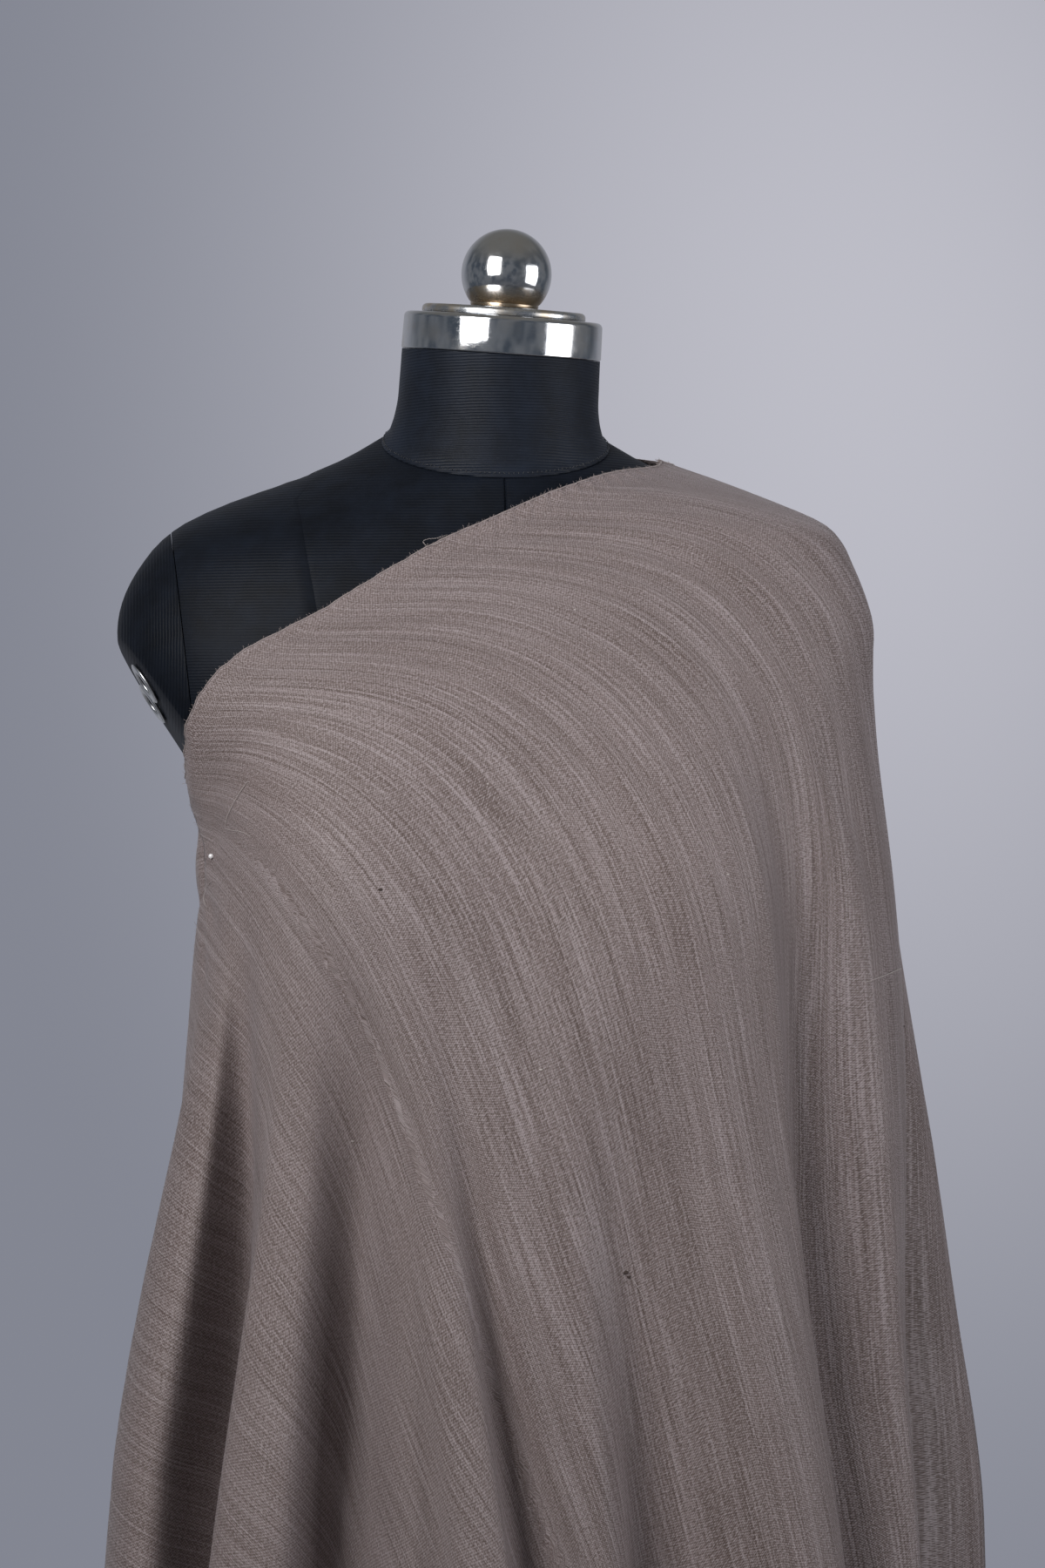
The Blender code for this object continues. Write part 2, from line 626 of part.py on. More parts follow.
def make_stand(collection, dark, chrome):
    top = BODY[0].level - FIT_GAP
    low = BASE_HEIGHT + FIT_GAP
    r = POLE_RADIUS
    pole = [(0.0, low), (r, low), (r, top - FLANGE_HEIGHT), (FLANGE_RADIUS - 0.001, top - FLANGE_HEIGHT)]
    pole += [(FLANGE_RADIUS, top - FLANGE_HEIGHT + 0.001), (FLANGE_RADIUS, top), (0.0, top)]
    turned("pole", pole, collection, chrome, 24)
    r, h = BASE_RADIUS, BASE_HEIGHT
    base = [(0.0, 0.0), (r - 0.002, 0.0), (r, 0.002)] + arc(r - 0.005, h - 0.005, 0.005, 0, 90, 4)
    base += [(0.034, h), (0.0, h)]
    turned("base", base, collection, dark, 40)


def main():
    clear_scene()
    parts = new_collection("stole_on_dress_form")
    cutters = new_collection("cutters")
    cutters.hide_render = True
    wool = material("taupe_wool", (0.23, 0.185, 0.18), 0.85)
    jersey = material("black_jersey", (0.012, 0.014, 0.02), 0.75)
    chrome = material("polished_chrome", (0.62, 0.63, 0.65), 0.15, 1.0)
    dark = material("black_painted_steel", (0.02, 0.02, 0.022), 0.4)
    body = make_body(parts, cutters, jersey)
    make_neck(parts, jersey)
    make_cap(parts, chrome)
    make_eyelets(parts, chrome)
    make_stand(parts, dark, chrome)
    form = clearance_trees(body)
    for name, neckline, hem, side, columns, rows, outset in (
        ("stole_front", FRONT_NECKLINE, FRONT_HEM, "front", FRONT_COLUMNS, FRONT_ROWS, LAP_STEP * 0.6),
        ("stole_back", BACK_NECKLINE, BACK_HEM, "back", BACK_COLUMNS, BACK_ROWS, -LAP_STEP * 0.4),
    ):
        cloth_stretch(name, neckline, hem, side, columns, rows, outset, form, parts, cutters, wool)


main()
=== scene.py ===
import math

import bmesh
import bpy
import numpy as np
from mathutils import Matrix, Vector
from mathutils.bvhtree import BVHTree
from mathutils.noise import noise as noiseAt


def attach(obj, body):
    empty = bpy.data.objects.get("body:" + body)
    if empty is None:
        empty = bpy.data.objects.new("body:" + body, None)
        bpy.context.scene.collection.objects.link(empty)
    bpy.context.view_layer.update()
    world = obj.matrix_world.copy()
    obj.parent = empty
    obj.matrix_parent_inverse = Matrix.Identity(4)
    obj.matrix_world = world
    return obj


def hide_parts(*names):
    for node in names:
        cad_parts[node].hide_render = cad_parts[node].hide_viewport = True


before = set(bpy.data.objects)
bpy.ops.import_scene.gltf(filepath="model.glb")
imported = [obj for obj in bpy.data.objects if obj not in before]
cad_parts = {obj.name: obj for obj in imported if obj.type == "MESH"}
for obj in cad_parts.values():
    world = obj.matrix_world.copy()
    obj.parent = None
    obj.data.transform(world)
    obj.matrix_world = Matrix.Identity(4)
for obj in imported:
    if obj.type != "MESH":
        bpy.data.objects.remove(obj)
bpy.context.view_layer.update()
print("frame loaded", flush=True)


# Azimuths are in degrees about the form's upright axis: 0 is +X (the shoulder with the stole),
# -90 the front, +90 the back, 180 the side of the bare arm.
def table(columns, rows):
    return dict(zip(columns.split(), np.array(rows, dtype=float).T))


# Level rings of the form and of the drape over it: reach to each side, squareness and tilt to the back.
sectionColumns = "level right left front back squareness tilt"
bodySections = table(sectionColumns, [
    (0.660, 0.148, 0.148, 0.096, 0.108, 2.2, 0.00),
    (0.700, 0.157, 0.157, 0.103, 0.117, 2.2, 0.00),
    (0.780, 0.162, 0.162, 0.106, 0.124, 2.2, 0.00),
    (0.870, 0.150, 0.150, 0.101, 0.106, 2.2, 0.00),
    (0.975, 0.126, 0.126, 0.092, 0.084, 2.2, 0.00),
    (1.050, 0.140, 0.140, 0.106, 0.092, 2.2, 0.00),
    (1.135, 0.153, 0.153, 0.116, 0.104, 2.2, 0.00),
    (1.185, 0.161, 0.161, 0.113, 0.110, 2.3, 0.01),
    (1.215, 0.176, 0.176, 0.109, 0.112, 2.4, 0.03),
    (1.250, 0.198, 0.198, 0.102, 0.111, 2.4, 0.07),
    (1.283, 0.2075, 0.2075, 0.095, 0.108, 2.4, 0.11),
    (1.304, 0.2030, 0.2030, 0.090, 0.104, 2.4, 0.14),
    (1.3205, 0.1935, 0.1935, 0.086, 0.100, 2.4, 0.16),
    (1.3320, 0.1835, 0.1835, 0.082, 0.096, 2.4, 0.18),
    (1.3405, 0.1720, 0.1720, 0.079, 0.092, 2.3, 0.19),
    (1.3510, 0.1490, 0.1490, 0.075, 0.086, 2.2, 0.21),
    (1.3610, 0.1200, 0.1200, 0.071, 0.079, 2.1, 0.24),
    (1.3725, 0.0900, 0.0900, 0.067, 0.070, 2.0, 0.29),
    (1.3860, 0.0630, 0.0630, 0.061, 0.060, 2.0, 0.37),
])
drapeSections = table(sectionColumns, [
    (0.250, 0.243, 0.213, 0.166, 0.158, 2.2, 0.00),
    (0.660, 0.238, 0.199, 0.160, 0.152, 2.2, 0.00),
    (0.780, 0.236, 0.190, 0.155, 0.149, 2.2, 0.00),
    (0.900, 0.2290, 0.180, 0.150, 0.143, 2.2, 0.00),
    (1.010, 0.2295, 0.171, 0.144, 0.135, 2.2, 0.00),
    (1.085, 0.2262, 0.165, 0.140, 0.127, 2.25, 0.00),
    (1.150, 0.2195, 0.161, 0.134, 0.121, 2.3, 0.01),
    (1.185, 0.2150, 0.162, 0.127, 0.118, 2.3, 0.015),
    (1.215, 0.2115, 0.1645, 0.121, 0.117, 2.3, 0.03),
    (1.250, 0.2090, 0.1770, 0.112, 0.115, 2.3, 0.07),
    (1.283, 0.2075, 0.1940, 0.101, 0.112, 2.3, 0.11),
    (1.308, 0.2032, 0.199, 0.0935, 0.1060, 2.3, 0.14),
    (1.3235, 0.1975, 0.193, 0.0890, 0.1020, 2.3, 0.16),
    (1.3350, 0.1920, 0.184, 0.0850, 0.0980, 2.3, 0.18),
    (1.3435, 0.1840, 0.173, 0.0820, 0.0940, 2.3, 0.19),
    (1.3540, 0.1595, 0.150, 0.0780, 0.0880, 2.2, 0.21),
    (1.3640, 0.1315, 0.121, 0.0740, 0.0810, 2.1, 0.24),
    (1.3755, 0.0950, 0.091, 0.0700, 0.0720, 2.0, 0.29),
    (1.3890, 0.0640, 0.064, 0.0640, 0.0620, 2.0, 0.37),
])
# Soft mounds of the bust: across, level, height, reach to the side, up and down.
bodyMounds = [(0.083, 1.140, 0.020, 0.046, 0.062, 0.040), (-0.083, 1.140, 0.020, 0.046, 0.062, 0.040)]
drapeMounds = [(0.083, 1.140, 0.013, 0.050, 0.070, 0.110), (-0.094, 1.168, 0.017, 0.048, 0.075, 0.110)]
# The large hanging folds: level where one starts and is full, azimuth and half width at both, how far
# it stands out (a trough is negative), how far its crest leans over and how much it bulges sideways.
largeFolds = {
    "sideRoll": (1.160, 0.900, -156.0, -166.0, 8.0, 13.0, 0.024, 0.90, 0.75),
    "sideTrough": (1.160, 0.930, -146.0, -151.0, 6.0, 9.0, -0.029, 0.70, 0.0),
    "bustLobe": (1.170, 0.790, -133.0, -137.0, 8.0, 10.0, 0.022, -0.15, 0.55),
    "bustTrough": (1.150, 0.820, -122.0, -122.0, 10.0, 12.5, -0.046, 0.50, 0.0),
    "middleRidge": (1.110, 0.790, -113.0, -98.0, 7.0, 8.0, 0.012, 0.60, 0.40),
    "middleTrough": (1.140, 0.850, -110.0, -90.0, 5.5, 7.5, -0.018, 0.0, 0.0),
    "frontTrough": (1.110, 0.790, -72.0, -58.0, 13.0, 16.0, -0.039, 0.0, 0.0),
    "frontRidge": (1.190, 0.820, -54.0, -41.0, 14.0, 11.0, 0.015, 0.0, 0.3),
    "armTrough": (1.320, 0.960, -37.0, -29.0, 11.0, 10.0, -0.029, 0.0, 0.0),
    "armRidge": (1.210, 0.820, -20.0, -20.0, 8.0, 9.0, 0.007, 0.5, 0.0),
    "sideGap": (1.180, 0.790, -4.0, -6.0, 6.0, 9.0, -0.046, 0.0, 0.0),
    "shoulderRoll": (1.200, 0.860, 7.0, 9.0, 11.0, 12.0, 0.046, 0.0, 0.0),
    "backTrough1": (1.240, 0.820, 30.0, 27.0, 12.0, 12.0, -0.028, 0.0, 0.0),
    "backRidge1": (1.120, 0.790, 50.0, 47.0, 12.0, 10.0, 0.022, 0.0, 0.4),
    "backTrough2": (1.090, 0.790, 68.0, 65.0, 10.0, 10.0, -0.020, 0.0, 0.0),
    "backRidge2": (1.080, 0.790, 86.0, 84.0, 11.0, 10.0, 0.018, 0.3, 0.4),
    "backTrough3": (1.060, 0.790, 104.0, 104.0, 10.0, 10.0, -0.022, 0.0, 0.0),
    "backRidge3": (1.120, 0.790, 124.0, 126.0, 12.0, 11.0, 0.024, -0.3, 0.4),
    "backTrough4": (1.100, 0.790, 142.0, 143.0, 9.0, 9.0, -0.026, 0.0, 0.0),
}
# The stole's selvedge and hem in front and behind, and its side edges by level.
frontNeckline = table("azimuth level", [
    (8.0, 1.3765), (-5.0, 1.3778), (-15.0, 1.3798), (-30.0, 1.3826), (-50.0, 1.3824), (-60.0, 1.3800),
    (-70.0, 1.3762), (-80.0, 1.3701), (-90.0, 1.3629), (-100.0, 1.3556), (-110.0, 1.3481),
    (-120.0, 1.3378), (-130.0, 1.3218), (-140.0, 1.3004), (-150.0, 1.2790), (-155.0, 1.2640),
    (-158.0, 1.2510), (-160.0, 1.2420), (-163.0, 1.2280), (-166.0, 1.2185), (-170.0, 1.2110),
    (-176.0, 1.2050), (-184.0, 1.2010),
])
backNeckline = table("azimuth level", [
    (8.0, 1.3765), (10.0, 1.3738), (12.0, 1.3722), (18.0, 1.3708), (30.0, 1.3700), (50.0, 1.3690),
    (70.0, 1.3650), (90.0, 1.3560), (105.0, 1.3440), (120.0, 1.3240), (135.0, 1.2980), (148.0, 1.2640),
    (156.0, 1.2420), (163.0, 1.2200), (169.0, 1.2050), (177.0, 1.1980), (190.0, 1.1940),
])
frontHem = table("azimuth level", [
    (8.0, 0.7450), (-30.0, 0.7350), (-50.0, 0.7050), (-60.0, 0.6650), (-68.0, 0.5800), (-76.0, 0.4400),
    (-84.0, 0.2700), (-91.0, 0.1400), (-96.0, 0.1050), (-104.0, 0.1500), (-120.0, 0.2700),
    (-140.0, 0.4000), (-160.0, 0.5200), (-175.0, 0.6200), (-184.0, 0.6650),
])
backHem = table("azimuth level", [
    (8.0, 0.7450), (30.0, 0.7350), (50.0, 0.7000), (62.0, 0.6500), (70.0, 0.5600), (78.0, 0.4200),
    (86.0, 0.2600), (93.0, 0.1450), (98.0, 0.1150), (107.0, 0.1700), (125.0, 0.2900), (145.0, 0.4200),
    (165.0, 0.5450), (180.0, 0.6400), (190.0, 0.6800),
])
sideEdges = table("level front back", [
    (0.640, -178.0, 182.0), (0.760, -183.0, 184.5), (0.880, -187.0, 184.5), (1.000, -185.0, 184.5),
    (1.090, -184.0, 190.0), (1.125, -174.0, 196.0), (1.158, -166.0, 200.0), (1.185, -173.0, 197.0),
    (1.215, -183.0, 191.0),
])
# A fold grows on a little past its full level, and the scale gives it its stated height at that level.
foldGrowth = {"past": 1.25, "scale": 1.12, "bulge": 1.54}

# The camera's place: a level photograph of this many pixels, at this scale on the form's axis.
view = {
    "azimuth": -5.0,
    "distance": 2.2,
    "metresPerPixel": 0.00048,
    "width": 1200,
    "height": 1800,
    "axisColumn": 569,
    "aimHeight": 1.2,
}


# A smooth curve through one column of a table.
def smooth(rows, key, value, at):
    order = np.argsort(rows[key])
    keys, values = rows[key][order], rows[value][order]
    slopes = np.gradient(values, keys)
    at = np.clip(at, keys[0], keys[-1])
    i = np.clip(np.searchsorted(keys, at) - 1, 0, len(keys) - 2)
    span = keys[i + 1] - keys[i]
    t = (at - keys[i]) / span
    bend = t * (1 - t) * span * ((1 - t) * slopes[i] - t * slopes[i + 1])
    return (1 + 2 * t) * (1 - t) ** 2 * values[i] + t**2 * (3 - 2 * t) * values[i + 1] + bend


def ease(x):
    x = np.clip(x, 0.0, 1.0)
    return x * x * (3 - 2 * x)


def ringRadius(sections, mounds, azimuth, level):
    names = ("right", "left", "front", "back", "squareness")
    right, left, front, back, power = (smooth(sections, "level", name, level) for name in names)
    a = np.radians(azimuth)
    side, deep = np.where(np.cos(a) > 0, right, left), np.where(np.sin(a) < 0, front, back)
    radius = (np.abs(np.cos(a) / side) ** power + np.abs(np.sin(a) / deep) ** power) ** (-1 / power)
    for across, height, out, reachSide, reachUp, reachDown in mounds:
        aside = (radius * np.cos(a) - across) / reachSide
        up = (level - height) / np.where(level > height, reachUp, reachDown)
        radius = radius + out * ease(-np.sin(a) * 2.0) * np.exp(-(aside**2) - up**2)
    return radius


def placed(radius, azimuth, level, tilt):
    a = np.radians(azimuth)
    x, y = radius * np.cos(a), radius * np.sin(a)
    return np.stack([x, y, level + tilt * y], axis=-1)


def bodyPoint(azimuth, level, inward=0.0):
    radius = ringRadius(bodySections, bodyMounds, azimuth, level) - inward
    return placed(radius, azimuth, level, smooth(bodySections, "level", "tilt", level))


def drapePoint(azimuth, level, folded=True):
    radius = ringRadius(drapeSections, drapeMounds, azimuth, level)
    sideways = np.zeros_like(radius)
    for row in largeFolds.values() if folded else ():
        startLevel, fullLevel, startAzimuth, fullAzimuth, startWidth, fullWidth, height, lean, bulge = row
        grown = (startLevel - level) / (startLevel - fullLevel)
        share = np.clip(grown, 0.0, foldGrowth["past"])
        size = height * ease(grown / foldGrowth["past"]) * foldGrowth["scale"]
        centre = startAzimuth + (fullAzimuth - startAzimuth) * share
        width = startWidth + (fullWidth - startWidth) * share
        off = (azimuth - centre + 180.0) % 360.0 - 180.0
        across = np.clip(off / width, -1.0, 1.0) * math.pi
        shape = 0.5 + 0.5 * np.cos(across)
        radius = radius + size * shape
        sideways = sideways + size * shape * (lean + foldGrowth["bulge"] * bulge * np.sin(across))
    points = placed(radius, azimuth, level, smooth(drapeSections, "level", "tilt", level))
    points[..., 0] -= sideways * np.sin(np.radians(azimuth))
    points[..., 1] += sideways * np.cos(np.radians(azimuth))
    return points


def newObject(name, data):
    made = bpy.data.objects.new(name, data)
    bpy.context.scene.collection.objects.link(made)
    return made


def addPiece(name, mesh, finish, slotName, *nodeNames):
    piece = newObject(name, mesh)
    if not mesh.materials:
        mesh.materials.append(finish)
    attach(piece, "root")
    if nodeNames:
        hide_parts(*nodeNames)
    return piece


def meshFrom(name, made):
    mesh = bpy.data.meshes.new(name)
    made.to_mesh(mesh)
    made.free()
    return mesh


# The finished shape of an object with its modifiers, as a plain mesh. The object itself goes.
def plainMesh(name, holder):
    result = bpy.data.meshes.new_from_object(holder.evaluated_get(bpy.context.evaluated_depsgraph_get()))
    result.name = name
    bpy.data.objects.remove(holder, do_unlink=True)
    result.shade_smooth()
    return result


def frameAt(place, up):
    return Matrix.Translation(place) @ up.to_track_quat("Z", "Y").to_matrix().to_4x4()


# Rows of points joined to a sheet, or to a solid with flat ends where the rows are closed rings.
def gridMesh(name, points, closed=False, uv=None):
    rows, columns = points.shape[:2]
    index = np.arange(rows * columns).reshape(rows, columns)
    nextColumn = np.roll(index, -1, axis=1) if closed else index[:, 1:]
    here = index if closed else index[:, :-1]
    corners = [here[:-1], nextColumn[:-1], nextColumn[1:], here[1:]]
    polygons = np.stack(corners, axis=-1).reshape(-1, 4).tolist()
    if closed:
        polygons += [index[0].tolist(), index[-1][::-1].tolist()]
    mesh = bpy.data.meshes.new(name)
    mesh.from_pydata(points.reshape(-1, 3).tolist(), [], polygons)
    if uv is not None:
        layer = mesh.uv_layers.new(name="threads")
        loops = np.zeros(len(mesh.loops), dtype=np.int32)
        mesh.loops.foreach_get("vertex_index", loops)
        layer.data.foreach_set("uv", uv.reshape(-1, 2)[loops].astype(np.float32).ravel())
    if closed:
        made = bmesh.new()
        made.from_mesh(mesh)
        bmesh.ops.recalc_face_normals(made, faces=made.faces)
        made.to_mesh(mesh)
        made.free()
    mesh.shade_smooth()
    return mesh


# A profile of radius and height, turned about its own axis.
def turnedMesh(name, profile, place, steps, closed=False):
    made = bmesh.new()
    rings = []
    turns = np.linspace(0.0, 2 * math.pi, steps, endpoint=False)
    for r, z in profile:
        spots = [(0.0, 0.0, z)] if r < 1e-7 else [(r * math.cos(t), r * math.sin(t), z) for t in turns]
        rings.append([made.verts.new(place @ Vector(spot)) for spot in spots])
    pairs = list(zip(rings, rings[1:])) + ([(rings[-1], rings[0])] if closed else [])
    for low, high in pairs:
        for i in range(steps):
            k = (i + 1) % steps
            corners = [low[i % len(low)], low[k % len(low)], high[k % len(high)], high[i % len(high)]]
            made.faces.new(list(dict.fromkeys(corners)))
    bmesh.ops.recalc_face_normals(made, faces=made.faces)
    mesh = meshFrom(name, made)
    mesh.shade_smooth()
    mesh.set_sharp_from_angle(angle=math.radians(50))
    return mesh


def arc(centreR, centreZ, radius, start, end, count):
    angles = np.radians(np.linspace(start, end, count))
    return [(centreR + radius * math.cos(t), centreZ + radius * math.sin(t)) for t in angles]


# Helpers for the finishes. From calc on, each adds nodes to a tree and returns what comes out of them.
def newFinish(name):
    finish = bpy.data.materials.new(name)
    finish.use_nodes = True
    return finish, finish.node_tree, finish.node_tree.nodes["Principled BSDF"]


def joined(tree, socket, value):
    if isinstance(value, bpy.types.NodeSocket):
        tree.links.new(value, socket)
    else:
        socket.default_value = value


def dress(tree, shader, values):
    for name, value in values.items():
        joined(tree, shader.inputs[name], value)


def calc(tree, operation, *values):
    made = tree.nodes.new("ShaderNodeMath")
    made.operation = operation
    for socket, value in zip(made.inputs, values):
        joined(tree, socket, value)
    return made.outputs[0]


def plus(tree, first, second):
    return calc(tree, "ADD", first, second)


def times(tree, first, second):
    return calc(tree, "MULTIPLY", first, second)


def noise(tree, place, scale, detail, rough):
    made = tree.nodes.new("ShaderNodeTexNoise")
    dress(tree, made, {"Vector": place, "Scale": scale, "Detail": detail, "Roughness": rough})
    return made.outputs["Fac"]


def vector(tree, x, y, z):
    made = tree.nodes.new("ShaderNodeCombineXYZ")
    dress(tree, made, {"X": x, "Y": y, "Z": z})
    return made.outputs[0]


def parts(tree, source):
    made = tree.nodes.new("ShaderNodeSeparateXYZ")
    joined(tree, made.inputs[0], source)
    return list(made.outputs)


def between(tree, value, low, high, toLow=0.0, toHigh=1.0):
    made = tree.nodes.new("ShaderNodeMapRange")
    made.interpolation_type = "SMOOTHSTEP"
    for socket, item in zip(made.inputs, (value, low, high, toLow, toHigh)):
        joined(tree, socket, item)
    return made.outputs[0]


def blend(tree, share, first, second):
    made = tree.nodes.new("ShaderNodeMix")
    made.data_type = "RGBA"
    joined(tree, made.inputs["Factor"], share)
    for socket, value in ((made.inputs[6], first), (made.inputs[7], second)):  # the two colours
        joined(tree, socket, value if isinstance(value, bpy.types.NodeSocket) else (*value, 1.0))
    return made.outputs[2]


def bump(tree, height, distance, strength):
    made = tree.nodes.new("ShaderNodeBump")
    dress(tree, made, {"Strength": strength, "Distance": distance, "Height": height})
    return made.outputs[0]


def objectPlace(tree):
    return tree.nodes.new("ShaderNodeTexCoord").outputs["Object"]


# The cloth's finish. Its weft threads run along v, the selvedge along u, both in metres.
woolLook = {
    "middle": (0.205, 0.163, 0.160),
    "pale": (0.375, 0.325, 0.335),
    "brown": (0.090, 0.064, 0.056),
    "warpPitch": 0.00135,
    "weftPitch": 0.00160,
    "wander": 9.0,  # how far the pitches wander, in radians
    "weaveShare": 0.20,
    "edge": (0.0014, 0.0004, 0.0, 0.5),  # the pale edge: where it starts and is full, its share at both
    "streakRelief": 0.7,
    "relief": (0.00045, 0.9),
    "roughness": (0.64, 0.50),
}
# Noise in the yarn: how fine across and along the threads, its shift, detail and roughness.
yarnNoise = {
    "wide": (26.0, 3.0, 0.0, 3.0, 0.6),
    "bands": (260.0, 3.2, 3.0, 2.0, 0.6),
    "streaks": (900.0, 9.0, 7.0, 1.5, 0.65),
    "threads": (1500.0, 15.0, 11.0, 1.0, 0.5),
    "slubs": (700.0, 12.0, 13.0, 0.0, 0.5),
    "darks": (640.0, 10.0, 23.0, 0.0, 0.5),
    "specks": (1000.0, 800.0, 31.0, 1.0, 0.6),
    "crosswise": (9.0, 560.0, 41.0, 2.0, 0.6),
    "wander": (60.0, 60.0, 51.0, 1.0, 0.5),
}
# Tones laid over one another: noise, where a tone starts and is full, its share and colour.
yarnTones = [
    ("wide", 0.38, 0.64, 0.22, "brown"),
    ("bands", 0.50, 0.72, 0.24, "pale"),
    ("bands", 0.47, 0.27, 0.26, "brown"),
    ("streaks", 0.53, 0.68, 0.60, "pale"),
    ("streaks", 0.47, 0.30, 0.68, "brown"),
    ("threads", 0.52, 0.70, 0.42, "pale"),
    ("threads", 0.48, 0.28, 0.48, "brown"),
    ("slubs", 0.70, 0.80, 0.55, "pale"),
    ("darks", 0.70, 0.80, 0.60, "brown"),
    ("crosswise", 0.46, 0.28, 0.22, "brown"),
    ("canvas", 0.52, 0.74, 0.72, "pale"),
    ("canvas", 0.48, 0.26, 0.80, "brown"),
]


def makeWool():
    look = woolLook
    finish, tree, shader = newFinish("taupeWool")
    uv = tree.nodes.new("ShaderNodeUVMap")
    uv.uv_map = "threads"
    s, t = parts(tree, uv.outputs[0])[:2]
    yarn = {}
    for name, (across, along, shift, detail, rough) in yarnNoise.items():
        place = vector(tree, times(tree, s, across), times(tree, t, along), shift)
        yarn[name] = noise(tree, place, 1.0, detail, rough)
    wander = times(tree, yarn["wander"], look["wander"])
    warp = calc(tree, "SINE", plus(tree, times(tree, t, 2 * math.pi / look["warpPitch"]), wander))
    weft = calc(tree, "SINE", plus(tree, times(tree, s, 2 * math.pi / look["weftPitch"]), wander))
    yarn["canvas"] = plus(tree, times(tree, times(tree, warp, weft), look["weaveShare"]), yarn["specks"])
    colour = look["middle"]
    for name, low, high, share, tone in yarnTones:
        colour = blend(tree, between(tree, yarn[name], low, high, 0.0, share), colour, look[tone])
    relief = plus(tree, yarn["canvas"], times(tree, yarn["streaks"], look["streakRelief"]))
    dress(tree, shader, {
        "Base Color": blend(tree, between(tree, t, *look["edge"]), colour, look["pale"]),
        "Normal": bump(tree, relief, *look["relief"]),
        "Roughness": between(tree, yarn["bands"], 0.3, 0.7, *look["roughness"]),
        "Specular IOR Level": 0.30,
        "Sheen Weight": 0.16,
        "Sheen Roughness": 0.45,
        "Sheen Tint": (0.86, 0.82, 0.90, 1.0),
    })
    return finish


# The black ribbed knit of the form.
jerseyLook = {
    "black": (0.0030, 0.0046, 0.0085),
    "blue": (0.0082, 0.0125, 0.0230),
    "ribCrest": (0.018, 0.022, 0.032),
    "lint": (0.040, 0.046, 0.058),
    "ribPitch": 0.00160,
    "ribWander": 0.0011,
    "relief": 0.00016,
}


# The third argument darkens colours, specular and sheen: painted shade for copies of the knit that look less
# lit.
def makeJersey(name, ribAlong, paintedShade=1.0, ribbed=1.0):
    look = jerseyLook
    finish, tree, shader = newFinish(name)
    place = objectPlace(tree)
    soft = noise(tree, place, 60.0, 3.0, 0.6)
    fine = noise(tree, place, 900.0, 2.0, 0.6)
    way = parts(tree, place)["xyz".index(ribAlong)]
    wandering = plus(tree, way, times(tree, soft, look["ribWander"]))
    ribs = calc(tree, "SINE", times(tree, wandering, 2 * math.pi / look["ribPitch"]))
    dark, blue = [tuple(paintedShade * part for part in look[tone]) for tone in ("black", "blue")]
    colour = blend(tree, between(tree, soft, 0.20, 0.85), dark, blue)
    for field, low, high, share, tone in ((ribs, -0.4, 1.0, 0.25 * ribbed, "ribCrest"),
                                          (fine, 0.62, 0.78, 0.22, "lint")):
        colour = blend(tree, between(tree, field, low, high, 0.0, share * paintedShade), colour, look[tone])
    height = plus(tree, ribs, times(tree, fine, 0.8))
    dress(tree, shader, {
        "Base Color": colour,
        "Normal": bump(tree, height, look["relief"], 0.8 * ribbed),
        "Roughness": 0.56,
        "Specular IOR Level": 0.22 * paintedShade,
        "Sheen Weight": 0.04 * paintedShade,
        "Sheen Roughness": 0.5,
        "Sheen Tint": (0.55, 0.65, 0.9, 1.0),
    })
    return finish


# Polished metal with a little tarnish, dust and fine scratches, and brown at its foot below given levels.
chromeLook = {
    "clear": (0.70, 0.72, 0.75),
    "tarnished": (0.56, 0.48, 0.37),
    "dusty": (0.42, 0.40, 0.37),
    "footBrown": (0.34, 0.25, 0.15),
    "footUneven": 0.004,
    "scratchScale": (300.0, 300.0, 3200.0),
    "relief": 0.00002,
}


def makeChrome(name, tarnish, worn=1.0, foot=None, dull=0.0):
    look = chromeLook
    finish, tree, shader = newFinish(name)
    place = objectPlace(tree)
    clouds = noise(tree, place, 55.0, 4.0, 0.6)
    dust = noise(tree, place, 1500.0, 2.0, 0.7)
    axes = parts(tree, place)
    stretched = [times(tree, axis, scale) for axis, scale in zip(axes, look["scratchScale"])]
    scratches = noise(tree, vector(tree, *stretched), 1.0, 2.0, 0.6)
    colour = blend(tree, between(tree, clouds, 0.40, 0.72, 0.0, tarnish), look["clear"], look["tarnished"])
    colour = blend(tree, between(tree, dust, 0.66, 0.78, 0.0, 0.5 * worn), colour, look["dusty"])
    rough = plus(tree, between(tree, clouds, 0.35, 0.75, 0.06, 0.15 + 0.10 * tarnish),
                 between(tree, scratches, 0.5, 0.8, 0.0, 0.10 * worn))
    rough = plus(tree, rough, dull)
    if foot:
        uneven = plus(tree, axes[2], times(tree, clouds, look["footUneven"]))
        low = between(tree, uneven, foot[1], foot[0])
        colour = blend(tree, times(tree, low, 0.85), colour, look["footBrown"])
        rough = plus(tree, rough, times(tree, low, 0.16))
    dress(tree, shader, {
        "Base Color": colour,
        "Roughness": rough,
        "Normal": bump(tree, scratches, look["relief"], 0.35 * worn),
        "Metallic": 1.0,
    })
    return finish


def makePaint():
    finish, tree, shader = newFinish("blackPaintedSteel")
    place = objectPlace(tree)
    peel = noise(tree, place, 420.0, 2.0, 0.5)
    wear = noise(tree, place, 22.0, 4.0, 0.65)
    black, rubbed = (0.012, 0.012, 0.014), (0.030, 0.029, 0.030)
    dress(tree, shader, {
        "Base Color": blend(tree, between(tree, wear, 0.40, 0.72), black, rubbed),
        "Roughness": between(tree, wear, 0.3, 0.75, 0.34, 0.52),
        "Normal": bump(tree, peel, 0.0002, 0.3),
    })
    return finish


